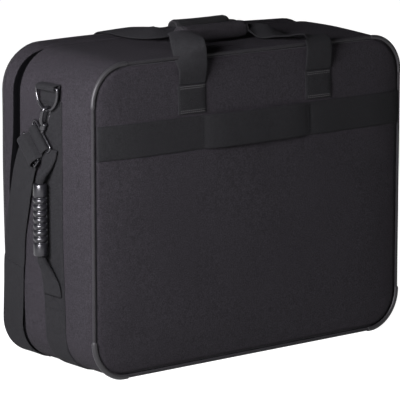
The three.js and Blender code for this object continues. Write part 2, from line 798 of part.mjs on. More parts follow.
// Centre line of the strap down the side wall: distance out from the wall, Y and Z.
const STRAP_ROUTE = [
  { out: 10.5, y: 53, z: 245 },
  { out: 8.5, y: 66, z: 200 },
  { out: 6.5, y: 72, z: 163 },
];
const STRAP_JOINT = { out: 6, y: 75, z: 150 };
const SLING_ROUTE = [
  { out: 3, y: 81, z: 110 },
  { out: 0, y: SLING_Y, z: BASE_Z + CORNER_RADIUS },
];
const STRAP_SKIN = GAP + WEB_THICKNESS / 2;

const strapPoint = ({ out, y, z }) => vec(-SIDE_X - STRAP_SKIN - out, y, z);

function strapUppers() {
  const top = strapEnd(0, STRAP_START, 0);
  const points = [top, ...STRAP_ROUTE.map(strapPoint), strapPoint(STRAP_JOINT)];
  const stations = points.map((at, i) => {
    const before = points[Math.max(i - 1, 0)];
    const after = points[Math.min(i + 1, points.length - 1)];
    const along = after.clone().sub(before);
    return { at, across: vec(0, -along.z, along.y), out: vec(-1, 0, 0) };
  });
  stations[0].across = strapEnd(-1, 0, 0).sub(strapEnd(1, 0, 0));
  stations[0].width = END_WIDTH;
  stations[stations.length - 1].across = yAxis.clone().negate();
  stations.forEach((s) => {
    if (s.across.y > 0) s.across.negate();
  });
  addPair("strap_upper", ribbon(stations), "webbing");
}

// The lower strap hugs both side walls and passes under the lid.
function strapSling() {
  const across = yAxis;
  const sideOut = vec(-1, 0, 0);
  const start = strapPoint(STRAP_JOINT);
  start.z -= GAP;
  const left = [start, ...SLING_ROUTE.map(strapPoint)].map((at) => ({ at, across, out: sideOut }));
  const steps = 2 * ARC_STEPS;
  const centre = vec(-SIDE_X + CORNER_RADIUS, SLING_Y, BASE_Z + CORNER_RADIUS);
  for (let i = 1; i <= steps; i += 1) {
    const turn = Math.PI + (Math.PI / 2) * (i / steps);
    const out = vec(Math.cos(turn), 0, Math.sin(turn));
    const at = centre.clone().addScaledVector(out, CORNER_RADIUS + STRAP_SKIN + 0.2);
    left.push({ at, across, out });
  }
  left[left.length - 1].at.z += 0.2;
  const flip = (v) => vec(-v.x, v.y, v.z);
  const right = left.map((s) => ({ at: flip(s.at), across, out: flip(s.out) })).reverse();
  add("strap_sling", ribbon([...left, ...right]), "webbing");
}

bodyShell();
pipingAndGuards();
sleeveStrap();
girthWebbing();
zipTapes();
zipSlider("a", SLIDER_A_X, -1);
zipSlider("b", SLIDER_B_X, 1);
lidHinge();
lid();
carryHandles();
sideGrips();
ringTabs();
dRings();
snapHooks();
strapEyes();
strapEnds();
strapUppers();
strapSling();

export default portfolioCase;
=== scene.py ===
"""Looks of a deep soft-sided carrying case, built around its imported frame.

Shapes are worked out in millimetres in the row frame and turned into metres when a mesh is made.
"""

import json
import math

import bmesh
import bpy
import numpy as np
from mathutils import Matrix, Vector

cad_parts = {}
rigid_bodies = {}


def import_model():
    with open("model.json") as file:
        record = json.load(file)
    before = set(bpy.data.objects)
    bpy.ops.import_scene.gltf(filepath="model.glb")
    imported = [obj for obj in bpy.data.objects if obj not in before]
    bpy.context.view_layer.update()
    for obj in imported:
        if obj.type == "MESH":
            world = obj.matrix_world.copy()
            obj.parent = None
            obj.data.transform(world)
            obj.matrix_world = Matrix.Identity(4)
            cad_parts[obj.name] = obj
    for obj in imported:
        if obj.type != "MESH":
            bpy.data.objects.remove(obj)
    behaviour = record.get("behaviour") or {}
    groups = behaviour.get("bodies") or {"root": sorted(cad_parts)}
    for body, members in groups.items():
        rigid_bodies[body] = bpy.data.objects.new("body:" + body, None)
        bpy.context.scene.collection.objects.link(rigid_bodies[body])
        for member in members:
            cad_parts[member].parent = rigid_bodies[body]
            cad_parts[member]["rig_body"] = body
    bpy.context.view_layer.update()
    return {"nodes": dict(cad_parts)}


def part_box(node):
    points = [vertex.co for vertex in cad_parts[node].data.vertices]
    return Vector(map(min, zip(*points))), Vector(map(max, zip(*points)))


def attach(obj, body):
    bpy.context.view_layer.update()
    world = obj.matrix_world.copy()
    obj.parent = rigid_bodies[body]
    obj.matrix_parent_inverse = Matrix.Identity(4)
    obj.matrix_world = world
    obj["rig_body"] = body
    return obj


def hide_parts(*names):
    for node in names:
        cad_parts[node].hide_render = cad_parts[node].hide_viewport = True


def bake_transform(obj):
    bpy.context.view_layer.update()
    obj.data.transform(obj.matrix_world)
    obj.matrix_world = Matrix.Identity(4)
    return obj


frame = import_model()
MM = 0.001


# ---- Camera ----
CAMERA_AT = (-2.531, -3.138, 0.984)
LOOK_DOWN = 10.74
LOOK_ASIDE = 38.78
LENS = 242.6


def make_camera():
    data = bpy.data.cameras.new("camera")
    data.sensor_width = 36
    data.lens = LENS
    data.clip_end = 100
    camera = bpy.data.objects.new("camera", data)
    camera.location = CAMERA_AT
    camera.rotation_euler = (math.radians(90 - LOOK_DOWN), 0, math.radians(-LOOK_ASIDE))
    bpy.context.scene.collection.objects.link(camera)
    bpy.context.scene.camera = camera


make_camera()


# ---- Sizes of the case, from the frame ----
def low_high(node):
    low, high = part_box(node)
    return np.array(low) / MM, np.array(high) / MM


# CLOTH, TAPE and STRAP are the thicknesses of wall cloth, flat tape and carrying webbing, WEB its width.
WALL_LOW, WALL_HIGH = low_high("body_gusset")
HALF = WALL_HIGH[0]
BASE = WALL_LOW[2]
TOP = WALL_HIGH[2]
CORNER = 58.0
REAR = low_high("rear_panel")[0][1]
WALL_REAR = WALL_LOW[1]
BODY_FRONT = WALL_HIGH[1]
LID_REAR = low_high("lid_rim")[0][1]
LID_FRONT = low_high("lid_panel")[1][1]
MID_Z = (BASE + TOP) / 2
HALF_Z = (TOP - BASE) / 2
ZIP_Y = (BODY_FRONT + LID_REAR) / 2
CLOTH = 1.8
TAPE = 1.7
STRAP = 1.8
WEB = 50
PIPING_INSET = 1.5
PIPING_Y = REAR + 1.5
GIRTH_LOW, GIRTH_HIGH = low_high("girth_webbing")
SIDE_Y = (GIRTH_LOW[1] + GIRTH_HIGH[1]) / 2
GIRTH_TOP = GIRTH_HIGH[2]


# ---- Small maths ----
def smooth(edge0, edge1, value):
    t = np.clip((np.asarray(value, float) - edge0) / (edge1 - edge0), 0, 1)
    return t * t * (3 - 2 * t)


def xyz(x, y, z):
    """Points from coordinates that are arrays or single numbers."""
    return np.stack(np.broadcast_arrays(x, y, z), axis=-1).astype(float)


def polar(radius, degrees):
    """The two coordinates of a point on a circle."""
    return radius * math.cos(math.radians(degrees)), radius * math.sin(math.radians(degrees))


def full_turn(count):
    return np.linspace(0, 2 * math.pi, count, endpoint=False)


def level_ring(x, y, z, reach_x, reach_y, turn):
    """Points round an oval that lies level at height z."""
    return xyz(x + reach_x * np.cos(turn), y + reach_y * np.sin(turn), z)


def run_length(points):
    """Distance along a path, from its first point to each of its points."""
    return np.concatenate([[0], np.cumsum(np.linalg.norm(np.diff(points, axis=0), axis=1))])


def at_distance(at, run, rows):
    """Rows of numbers at distances along a path whose own distances are run."""
    return np.stack([np.interp(at, run, rows[:, k]) for k in range(rows.shape[1])], axis=-1)


def unit(vectors):
    vectors = np.asarray(vectors, float)
    return vectors / np.maximum(np.linalg.norm(vectors, axis=-1, keepdims=True), 1e-9)


def ripple(a, b, wavelength, seed):
    """Smooth uneven waves over two coordinates, between about -1 and 1."""
    total = np.zeros(np.broadcast(a, b).shape)
    for k in range(7):
        turn = seed * 1.7 + k * 2.399
        stretch = 0.7 + 0.13 * ((k * 5 + seed) % 7)
        phase = 1.3 * seed + 2.1 * k
        along = np.cos(turn) * a + np.sin(turn) * b
        total = total + np.sin(2 * math.pi * along / (wavelength * stretch) + phase)
    return total / 3.2


def spline(points, steps):
    """Catmull-Rom curve through rows of numbers, with steps points in each span."""
    points = np.asarray(points, float)
    padded = np.vstack([2 * points[0] - points[1], points, 2 * points[-1] - points[-2]])
    t = np.linspace(0, 1, steps, endpoint=False)[:, None]
    spans = []
    for i in range(1, len(padded) - 2):
        a, b, c, d = padded[i - 1 : i + 3]
        spans.append(
            0.5 * (2 * b + (c - a) * t + (2 * a - 5 * b + 4 * c - d) * t**2 + (3 * b - a - 3 * c + d) * t**3)
        )
    return np.vstack([*spans, points[-1:]])


# ---- Outline of the case ----
def outline(step=12.0, arc=10):
    """Points and outward normals round the outer outline, from the middle of the base towards +X."""
    reach = HALF - CORNER
    low, high = BASE + CORNER, TOP - CORNER
    rows = []

    def line(x0, z0, x1, z1, nx, nz):
        count = max(2, round(math.hypot(x1 - x0, z1 - z0) / step))
        for t in np.linspace(0, 1, count, endpoint=False):
            rows.append((x0 + (x1 - x0) * t, z0 + (z1 - z0) * t, nx, nz))

    def corner(x, z, start):
        for t in np.linspace(start, start + 90, arc, endpoint=False):
            c, s = math.cos(math.radians(t)), math.sin(math.radians(t))
            rows.append((x + CORNER * c, z + CORNER * s, c, s))

    line(0, BASE, reach, BASE, 0, -1)
    corner(reach, low, -90)
    line(HALF, low, HALF, high, 1, 0)
    corner(reach, high, 0)
    line(reach, TOP, -reach, TOP, 0, 1)
    corner(-reach, high, 90)
    line(-HALF, high, -HALF, low, -1, 0)
    corner(-reach, low, 180)
    line(-reach, BASE, 0, BASE, 0, -1)
    x, z, nx, nz = np.array(rows).T
    return x, z, nx, nz


def side_fullness(z):
    return 6.3 * smooth(45, 225, z) - 1.0 * smooth(300, 440, z)


def body_bulge(x, z, nx, nz, y):
    """How far the padded wall stands out from the outline at depth y, in millimetres."""
    up, side = np.clip(nz, 0, 1) ** 2, nx**2
    depth = np.clip((y - WALL_REAR) / (BODY_FRONT - WALL_REAR), 0, 1)
    full = 1 - (1 - depth) ** 2.2
    crest = 8.4 - 1.4 * (x / HALF) ** 2
    dent = 3.0 * np.exp(-(((x + 15) / 95) ** 4)) * np.exp(-(((y + 30) / 30) ** 2))
    uneven = 0.5 * ripple(x + z, y * 1.0, 150, 3)
    out = up * (crest * full - dent) + side * side_fullness(z) * full
    return out + (up + side * smooth(60, 160, z)) * uneven * full


def lid_bulge(x, z, nx, nz, y):
    up, side = np.clip(nz, 0, 1) ** 2, nx**2
    crest = 8.5 + 2.6 * np.exp(-(((x + 40) / 150) ** 2)) - 3.5 * smooth(150, 300, x)
    depth = smooth(LID_REAR, LID_REAR + 22, y)
    uneven = 0.4 * ripple(x + z, y, 130, 5)
    out = up * (0.7 + 0.3 * depth) * crest + side * (side_fullness(z) - 0.8 * smooth(60, 200, z))
    return out + (up + side * smooth(60, 160, z)) * uneven


def edge_radius_lid(z, nx):
    """The lid wall rolls in towards the zip, most of all halfway up the sides."""
    return 3.5 + 11 * nx**2 * np.exp(-(((z - 225) / 85) ** 4))


def body_wall(x, z, nx, nz, y):
    """Offset of the body's outer face from the outline, with the front edge rolled in."""
    out = body_bulge(x, z, nx, nz, y)
    roll = np.clip((y - (BODY_FRONT - 6)) / 6, 0, 1)
    return -4 + (out + 4) * np.sqrt(np.clip(1 - roll**2, 0, 1))


def lid_wall(x, z, nx, nz, y):
    out = lid_bulge(x, z, nx, nz, y)
    radius = edge_radius_lid(z, nx)
    roll = np.clip(1 - (y - LID_REAR) / radius, 0, 1)
    return -4 + (out + 4) * np.sqrt(np.clip(1 - roll**2, 0, 1))


def inner_distance(x, z, inset=0.0):
    """Distance inside the outline, and the same eased across the corners."""
    dx, dz = HALF - np.abs(x), HALF_Z - np.abs(z - MID_Z)
    outer = np.hypot(np.clip(CORNER - dx, 0, None), np.clip(CORNER - dz, 0, None))
    true = np.where((dx < CORNER) | (dz < CORNER), CORNER - outer, np.minimum(dx, dz))
    true = np.minimum(true, np.minimum(dx, dz)) - inset
    eased = (np.clip(dx, 1, None) ** -2.0 + np.clip(dz, 1, None) ** -2.0) ** -0.5
    return np.clip(true, 0, None), np.clip(eased - inset, 0, None)


def rear_crown(x, z):
    """How far the rear panel stands out from its plane."""
    true, eased = inner_distance(x, z, 3.0)
    crown = 8.8 * (1 - np.exp(-eased / 40)) * (1 - np.exp(-true / 9))
    pull = 0.5 * ripple(x, z, 190, 2) + 0.22 * ripple(x, z, 70, 4)
    pucker = 0.25 * np.exp(-true / 16) * ripple(x, z, 27, 6)
    return crown + (pull * smooth(0, 60, true)) + pucker * smooth(0, 6, true)


def lid_crown(x, z):
    true, eased = inner_distance(x, z, 15.0)
    crown = 5.0 * (1 - np.exp(-eased / 45)) * (1 - np.exp(-true / 12))
    return crown + 0.6 * ripple(x, z, 170, 8) * smooth(0, 60, true)


# ---- Meshes ----
def face_outward(mesh):
    """Turn the faces of a closed mesh outward. An open sheet keeps the side that it was given."""
    shape = bmesh.new()
    shape.from_mesh(mesh)
    if all(edge.is_manifold for edge in shape.edges):
        bmesh.ops.recalc_face_normals(shape, faces=shape.faces)
        shape.to_mesh(mesh)
    shape.free()


def make_mesh(name, vertices, faces, material, uv=None, shade_smooth=True):
    mesh = bpy.data.meshes.new(name)
    mesh.from_pydata((np.asarray(vertices, float) * MM).tolist(), [], faces)
    if uv is not None:
        layer = mesh.uv_layers.new(name="Fabric")
        layer.data.foreach_set("uv", np.asarray(uv, np.float32).ravel())
    mesh.materials.append(material)
    mesh.polygons.foreach_set("use_smooth", [shade_smooth] * len(mesh.polygons))
    face_outward(mesh)
    mesh.update()
    piece = bpy.data.objects.new(name, mesh)
    bpy.context.scene.collection.objects.link(piece)
    return piece


def distances(points, axis):
    """Mean running length along one direction of a grid of points."""
    steps = np.linalg.norm(np.diff(points, axis=axis), axis=-1).mean(axis=1 - axis)
    return np.concatenate([[0], np.cumsum(steps)])


def grid(name, points, material, around=False, along=False, flat_uv=None, flip=False, caps=False):
    """A surface over points[i, j]. around closes j on itself, along closes i, caps fills the end rows."""
    points = np.asarray(points, float)
    n, m = points.shape[:2]
    wide = np.concatenate([points, points[:, :1]], axis=1) if around else points
    full = np.concatenate([wide, wide[:1]], axis=0) if along else wide
    u, v = distances(full, 1), distances(full, 0)
    rows, cols = full.shape[0] - 1, full.shape[1] - 1
    faces, uv = [], []
    for i in range(rows):
        for j in range(cols):
            corners = [(i, j), (i, j + 1), (i + 1, j + 1), (i + 1, j)]
            if flip:
                corners.reverse()
            faces.append([(a % n) * m + (b % m) for a, b in corners])
            for a, b in corners:
                if flat_uv is None:
                    uv.append((u[b], v[a]))
                else:
                    uv.append(full[a, b][list(flat_uv)])
    if caps:
        first = list(range(m)) if flip else list(range(m))[::-1]
        last = [(n - 1) * m + j for j in first][::-1]
        for ring in (first, last):
            faces.append(ring)
            uv.extend([(points[k // m, k % m][0], points[k // m, k % m][1]) for k in ring])
    return make_mesh(name, points.reshape(-1, 3), faces, material, uv)


def modify(piece, kind, **settings):
    modifier = piece.modifiers.new(kind.lower(), kind)
    for key, value in settings.items():
        setattr(modifier, key, value)
    return modifier


def thicken(piece, thickness, offset=-1.0):
    modify(piece, "SOLIDIFY", thickness=thickness * MM, offset=offset, use_even_offset=True)


def subdivide(piece, levels=1):
    modify(piece, "SUBSURF", levels=levels, render_levels=levels)


def stand_in(piece, slot, *nodes):
    """The piece takes the place of CAD nodes and rides with the first one's body."""
    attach(piece, frame["nodes"][nodes[0]]["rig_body"])
    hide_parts(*nodes)
    return piece


def with_body(piece, body):
    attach(piece, body)
    return piece


def frames_along(path, up):
    """Unit tangents, sideways and upward directions along a path, up leaning towards the given direction."""
    tangent = unit(np.gradient(path, axis=0))
    side = unit(np.cross(tangent, np.broadcast_to(up, path.shape)))
    return tangent, side, unit(np.cross(side, tangent))


def tube(name, path, radius, material, sides=12, closed=False, up=(0, 0, 1)):
    """A round tube along a path."""
    path = np.asarray(path, float)
    if closed:
        tangent = unit(np.roll(path, -1, axis=0) - np.roll(path, 1, axis=0))
        side = unit(np.cross(tangent, np.broadcast_to(up, path.shape)))
        rise = unit(np.cross(side, tangent))
    else:
        _, side, rise = frames_along(path, np.asarray(up, float))
    radius = np.broadcast_to(np.asarray(radius, float), (len(path),))
    turn = full_turn(sides)
    ring = side[:, None] * np.cos(turn)[None, :, None] + rise[:, None] * np.sin(turn)[None, :, None]
    points = path[:, None] + ring * radius[:, None, None]
    return grid(name, points, material, around=True, along=closed, caps=not closed)


def webbing(name, path, across, width, thick, material, crown=0.0, keep=slice(None)):
    """Flat webbing with rounded edges along a path, bowed by the crown. across points along its width."""
    path = np.asarray(path, float)
    tangent = unit(np.gradient(path, axis=0))
    across = unit(np.broadcast_to(across, path.shape))
    across = unit(across - tangent * np.sum(across * tangent, axis=1, keepdims=True))
    out = unit(np.cross(across, tangent))
    width, thick, crown = (np.broadcast_to(np.asarray(a, float), (len(path),)) for a in (width, thick, crown))
    top = [(s, 1.0) for s in (-0.93, -0.8, -0.5, -0.2, 0.2, 0.5, 0.8, 0.93)]
    right = [(0.93 + polar(0.07, t)[0], polar(1, t)[1]) for t in np.linspace(60, -60, 5)]
    half = np.array(top + right)
    s, h = np.vstack([half, -half]).T
    bow = crown[:, None] * (1 - s**2)[None, :]
    points = (
        path[:, None]
        + across[:, None] * (s[None, :] * width[:, None] / 2)[..., None]
        + out[:, None] * (h[None, :] * thick[:, None] / 2 + bow)[..., None]
    )
    return grid(name, points[keep], material, around=True, caps=True, flip=True)


def join(name, pieces):
    """One mesh from several, keeping the first one's name place and all materials."""
    bpy.ops.object.select_all(action="DESELECT")
    for piece in pieces:
        piece.select_set(True)
    bpy.context.view_layer.objects.active = pieces[0]
    bpy.ops.object.join()
    pieces[0].name = name
    return pieces[0]


def stitches(name, rows, material, pitch=3.4, length=2.5, radius=0.3):
    """Thread along rows of points that lie on a surface. Each row is (points, surface normals)."""
    vertices, faces = [], []
    for points, normals in rows:
        points = np.asarray(points, float)
        normals = unit(np.broadcast_to(normals, points.shape))
        run = run_length(points)
        for at in np.arange(pitch / 2, run[-1], pitch):
            a, b = at_distance([at - length / 2, at + length / 2], run, points)
            lift = unit(at_distance(at, run, normals))
            along = unit(b - a)
            side = np.cross(along, lift)
            start = len(vertices)
            vertices.append(a - lift * radius)
            for t, grow in ((0.22, 0.85), (0.5, 1.0), (0.78, 0.85)):
                centre = a + (b - a) * t + lift * radius * (0.35 + 0.4 * grow)
                for c, s in ((1, 0), (0.3, 0.95), (-0.8, 0.6), (-0.8, -0.6), (0.3, -0.95)):
                    vertices.append(centre + (lift * c + side * s) * radius * grow)
            vertices.append(b - lift * radius)
            for j in range(5):
                k = (j + 1) % 5
                faces.append([start, start + 1 + k, start + 1 + j])
                for ring in (0, 1):
                    low = start + 1 + ring * 5
                    faces.append([low + j, low + k, low + 5 + k, low + 5 + j])
                faces.append([start + 11 + j, start + 11 + k, start + 16])
    return make_mesh(name, vertices, faces, material)


# ---- Materials ----
class Shader:
    """A node material with short helpers for its maths."""

    def __init__(self, name):
        self.material = bpy.data.materials.new(name)
        self.material.use_nodes = True
        self.nodes = self.material.node_tree.nodes
        self.links = self.material.node_tree.links
        self.bsdf = self.nodes["Principled BSDF"]

    def feed(self, socket, value):
        if isinstance(value, bpy.types.NodeSocket):
            self.links.new(value, socket)
        else:
            socket.default_value = value

    def node(self, kind, inputs=(), **settings):
        """A new node with its settings made and its inputs fed, as pairs of name and value."""
        made = self.nodes.new(kind)
        for key, value in settings.items():
            setattr(made, key, value)
        for key, value in inputs:
            self.feed(made.inputs[key], value)
        return made

    def math(self, operation, a, b=0.0):
        return self.node("ShaderNodeMath", ((0, a), (1, b)), operation=operation).outputs[0]

    def wave(self, value, rate):
        """Humps of a sine, all upward."""
        return self.math("ABSOLUTE", self.math("SINE", self.math("MULTIPLY", value, rate)))

    def middle(self, a, b):
        return self.math("ADD", self.math("MULTIPLY", a, 0.5), self.math("MULTIPLY", b, 0.5))

    def noise(self, vector, scale, detail=3.0, roughness=0.55):
        inputs = (("Vector", vector), ("Scale", scale), ("Detail", detail), ("Roughness", roughness))
        return self.node("ShaderNodeTexNoise", inputs).outputs["Fac"]

    def spread(self, value, low, high):
        """Noise stretched to run from low to high."""
        limits = (("From Min", 0.3), ("From Max", 0.7), ("To Min", low), ("To Max", high))
        return self.node("ShaderNodeMapRange", (("Value", value), *limits), clamp=True).outputs[0]

    def multiply(self, colour, value):
        inputs = (("Factor", 1), ("A", colour), ("B", value))
        made = self.node("ShaderNodeMix", inputs, data_type="RGBA", blend_type="MULTIPLY")
        return made.outputs["Result"]

    def mix(self, factor, a, b):
        a, b = ((*c, 1) if isinstance(c, tuple) else c for c in (a, b))
        inputs = (("Factor", factor), ("A", a), ("B", b))
        return self.node("ShaderNodeMix", inputs, data_type="RGBA").outputs["Result"]

    def bump(self, height, distance, strength=1.0, normal=None):
        inputs = [("Strength", strength), ("Distance", distance * MM), ("Height", height)]
        if normal is not None:
            inputs.append(("Normal", normal))
        return self.node("ShaderNodeBump", inputs).outputs["Normal"]

    def object_vector(self):
        return self.node("ShaderNodeTexCoord").outputs["Object"]

    def finish(self, colour, roughness, normal, specular=0.3, metallic=0.0, sheen=0.0, coat=0.0):
        for key, value in (
            ("Base Color", colour),
            ("Roughness", roughness),
            ("Normal", normal),
            ("Specular IOR Level", specular),
            ("Metallic", metallic),
            ("Sheen Weight", sheen),
            ("Sheen Roughness", 0.6),
            ("Sheen Tint", (0.3, 0.29, 0.32, 1)),
            ("Coat Weight", coat),
            ("Coat Roughness", 0.12),
        ):
            self.feed(self.bsdf.inputs[key], value)
        return self.material


def shade(colour, factor):
    return tuple(c * factor for c in colour)


def woven(
    name, colour, cell, relief, roughness=0.88, sheen=0.02, specular=0.03, ribs=0.0, blotch=0.3, fleck=0.55
):
    """A plain weave with threads cell millimetres apart along and across, and cross ribs when asked."""
    s = Shader(name)
    uv = s.node("ShaderNodeUVMap", uv_map="Fabric").outputs["UV"]
    parts = s.node("ShaderNodeSeparateXYZ", ((0, uv),))
    along = s.math("DIVIDE", parts.outputs[0], cell[0])
    across = s.math("DIVIDE", parts.outputs[1], cell[1])
    warp, weft = s.wave(along, math.pi), s.wave(across, math.pi)
    odd = s.math("FLOORED_MODULO", s.math("ADD", s.math("FLOOR", along), s.math("FLOOR", across)), 2.0)
    over = s.math("MULTIPLY", warp, odd)
    under = s.math("MULTIPLY", weft, s.math("SUBTRACT", 1.0, odd))
    height = s.math("ADD", over, under)
    if ribs:
        rib = s.wave(along, math.pi / ribs)
        height = s.math("ADD", s.math("MULTIPLY", height, 0.55), s.math("MULTIPLY", rib, 0.6))
    place = s.object_vector()
    fibre = s.noise(place, 2400, 2)
    patch = s.noise(place, 9, 4)
    patch_small = s.noise(place, 70, 4)
    tone = s.middle(height, fibre)
    thread = s.mix(tone, shade(colour, 0.62), shade(colour, 1.3))
    worn = s.mix(s.spread(patch, 0.0, blotch), thread, shade(colour, 1.45))
    rubbed = s.mix(s.spread(patch_small, 0.0, 0.12), worn, shade(colour, 0.6))
    slub = s.spread(s.noise(place, 520, 3, 0.6), 1 - fleck, 1 + fleck)
    streak = s.spread(s.noise(place, 150, 2), 1 - fleck / 6, 1 + fleck / 6)
    final = s.multiply(s.multiply(rubbed, slub), streak)
    rough = s.spread(s.middle(patch, fibre), roughness - 0.07, roughness + 0.07)
    soft = s.bump(s.noise(place, 160, 3), 0.25, 0.35)
    normal = s.bump(height, relief, 0.8, soft)
    return s.finish(final, rough, normal, specular=specular, sheen=sheen)


def moulded(name, colour, roughness, grain, relief, specular=0.5, coat=0.0, metallic=0.0, wear=0.3):
    """Plastic, leathercloth or enamel: fine grain, faint scuffs and slightly paler high spots."""
    s = Shader(name)
    place = s.object_vector()
    fine = s.noise(place, grain, 3)
    broad = s.noise(place, 35, 4)
    scuff = s.noise(place, 420, 5, 0.7)
    base = s.mix(fine, shade(colour, 0.82), shade(colour, 1.15))
    worn = s.mix(s.spread(scuff, 0.0, wear), base, shade(colour, 1.6))
    rough = s.spread(s.middle(broad, scuff), roughness * 0.8, min(roughness * 1.3, 1))
    normal = s.bump(fine, relief, 0.6)
    return s.finish(worn, rough, normal, specular=specular, coat=coat, metallic=metallic)


def thread_material(name, colour):
    s = Shader(name)
    place = s.object_vector()
    inputs = (("Vector", place), ("Scale", 900), ("Distortion", 1.0))
    twist = s.node("ShaderNodeTexWave", inputs, wave_type="BANDS", bands_direction="DIAGONAL").outputs["Fac"]
    fuzz = s.noise(place, 1500, 2)
    tone = s.mix(s.math("MULTIPLY", twist, fuzz), shade(colour, 0.75), shade(colour, 1.25))
    return s.finish(tone, s.spread(fuzz, 0.55, 0.75), s.bump(twist, 0.06, 0.7), specular=0.06)


def foam_material(name, colour):
    s = Shader(name)
    place = s.object_vector()
    voronoi = s.node("ShaderNodeTexVoronoi", (("Vector", place), ("Scale", 1300)), feature="F1")
    cells = voronoi.outputs["Distance"]
    broad = s.noise(place, 40, 3)
    tone = s.mix(cells, shade(colour, 0.7), shade(colour, 1.2))
    final = s.mix(s.spread(broad, 0, 0.3), tone, shade(colour, 1.3))
    return s.finish(final, s.spread(broad, 0.88, 0.98), s.bump(cells, 0.15, 0.7), specular=0.15)


FABRIC = woven("case_fabric", (0.0089, 0.0082, 0.0093), (0.85, 0.85), 0.22)
FABRIC_TOP = woven("wrap_fabric", (0.0087, 0.0081, 0.0089), (0.8, 0.8), 0.2)
WEBBING = woven("webbing", (0.0054, 0.0055, 0.0057), (1.1, 1.5), 0.3, ribs=2.0, blotch=0.2, fleck=0.35)
WEBBING_FOLDED = woven("wrap_webbing", (0.0052, 0.0053, 0.0053), (1.1, 1.5), 0.3, ribs=2.0, fleck=0.35)
BINDING = woven("piping", (0.005, 0.0048, 0.0052), (0.6, 0.6), 0.12, roughness=0.75, specular=0.15)
LINING = woven("lining", (0.028, 0.0275, 0.03), (0.7, 0.7), 0.12, roughness=0.9)
# Zip tape: black, and darkened further to near zero as painted shade for the deep zip recess between body and
# lid.
ZIP_TAPE_PAINTED_SHADE = woven("zip_tape", (0.0006, 0.0006, 0.0007), (0.7, 0.7), 0.15, sheen=0.0, specular=0.01)
GUARD = moulded("guard", (0.0075, 0.0074, 0.0077), 0.5, 700, 0.12, specular=0.2, wear=0.4)
GRIP = moulded("grip_plastic", (0.0035, 0.0035, 0.0041), 0.28, 900, 0.04, specular=0.28, coat=0.08)
METAL = moulded("metal", (0.004, 0.004, 0.0045), 0.22, 1200, 0.02, specular=0.35, coat=0.12, wear=0.2)
COIL = moulded("zip_coil", (0.003, 0.003, 0.0033), 0.5, 1500, 0.03, specular=0.2)
THREAD_DARK = thread_material("thread_dark", (0.004, 0.004, 0.0045))
THREAD_LIGHT = thread_material("thread_light", (0.035, 0.0345, 0.034))
FOAM = foam_material("foam", (0.06, 0.06, 0.063))
BOARD = foam_material("board", (0.025, 0.025, 0.026))

OUT_X, OUT_Z, OUT_NX, OUT_NZ = outline()


def ring_at(y, offset):
    """Points round the outline at depth y, moved out by the offset."""
    return xyz(OUT_X + OUT_NX * offset, y, OUT_Z + OUT_NZ * offset)


def sew(name, rows, slot, body, thread=THREAD_DARK, **thread_size):
    """Rows of stitches that ride with a body."""
    with_body(stitches(name, rows, thread, **thread_size), body)


# ---- Walls, panels and padding ----
def coons(inset, count):
    """A square grid of points filling the outline, its corners halfway round the case's corners."""
    turn = math.radians(45)
    reach, low, high = HALF - CORNER, BASE + CORNER, TOP - CORNER
    radius = CORNER - inset

    even = np.linspace(0, 1, count + 1)
    share = even - 0.9 * np.sin(2 * math.pi * even) / (2 * math.pi)

    def arc(cx, cz, a0, a1):
        return [(cx + radius * math.cos(a), cz + radius * math.sin(a)) for a in np.linspace(a0, a1, 9)]

    def edge(cx0, cz0, a0, cx1, cz1, a1, a_mid):
        path = np.array(arc(cx0, cz0, a0, a_mid) + arc(cx1, cz1, a_mid, a1))
        run = run_length(path)
        return at_distance(share * run[-1], run, path)

    quarter = math.pi / 2
    bottom = edge(-reach, low, -quarter - turn, reach, low, -quarter + turn, -quarter)
    top = edge(-reach, high, quarter + turn, reach, high, quarter - turn, quarter)
    left = edge(-reach, low, math.pi + turn, -reach, high, math.pi - turn, math.pi)
    right = edge(reach, low, -turn, reach, high, turn, 0)
    u, v = share[None, :, None], share[:, None, None]
    corners = (
        (1 - u) * (1 - v) * bottom[0] + u * (1 - v) * bottom[-1] + (1 - u) * v * top[0] + u * v * top[-1]
    )
    surface = (1 - v) * bottom[None] + v * top[None] + (1 - u) * left[:, None] + u * right[:, None] - corners
    return surface[..., 0], surface[..., 1]


def rear_surface(x, z, lift=0.0):
    return xyz(x, REAR - rear_crown(x, z) - lift, z)


def lid_surface(x, z, lift=0.0):
    return xyz(x, LID_FRONT + lid_crown(x, z) + lift, z)


def make_body():
    x, z = coons(3.0, 76)
    true, _ = inner_distance(x, z, 3.0)
    points = rear_surface(x, z)
    points[..., 1] += 3.6 * np.exp(-((true / 4.2) ** 2))
    panel = grid("rear_panel_cloth", points, FABRIC, flat_uv=(0, 2))
    thicken(panel, 2.0)
    stand_in(panel, "case_fabric", "rear_panel")

    depths = [WALL_REAR - 0.6, WALL_REAR + 1, WALL_REAR + 4, *np.linspace(WALL_REAR + 10, BODY_FRONT - 8, 16)]
    depths += [BODY_FRONT - 6 + polar(6, a)[1] for a in (0, 18, 36, 52, 66, 78, 90)]
    rows = []
    for y in depths:
        offset = body_wall(OUT_X, OUT_Z, OUT_NX, OUT_NZ, y)
        tuck = -1.6 * math.exp(-(y - WALL_REAR + 0.6) / 2.5)
        rows.append(ring_at(y, offset + tuck))
    rows.append(ring_at(BODY_FRONT - 1.4, -6.0))
    wall = grid("gusset_cloth", rows, FABRIC, around=True, flip=True)
    thicken(wall, CLOTH)
    stand_in(wall, "case_fabric", "body_gusset")


def make_top_seam():
    """The curved seam of the patch sewn into the top of the body."""
    curve = spline([(-60, -62), (-38, -63), (-21.7, -66), (-15, -76), (-12.9, -90), (-13.5, -104)], 8)
    x, y = curve.T
    row = (xyz(x, y, TOP + body_bulge(x, TOP, 0, 1, y) + 0.1), (0, 0, 1))
    sew("top_seam", [row], "case_fabric", "case_body", pitch=3.2, length=2.9, radius=0.45)


def loop_band(name, profile, material):
    """A closed band round the outline. profile gives rows of (depth, offset) round its section."""
    rows = [ring_at(y, offset) for y, offset in profile]
    return grid(name, rows, material, around=True, along=True)


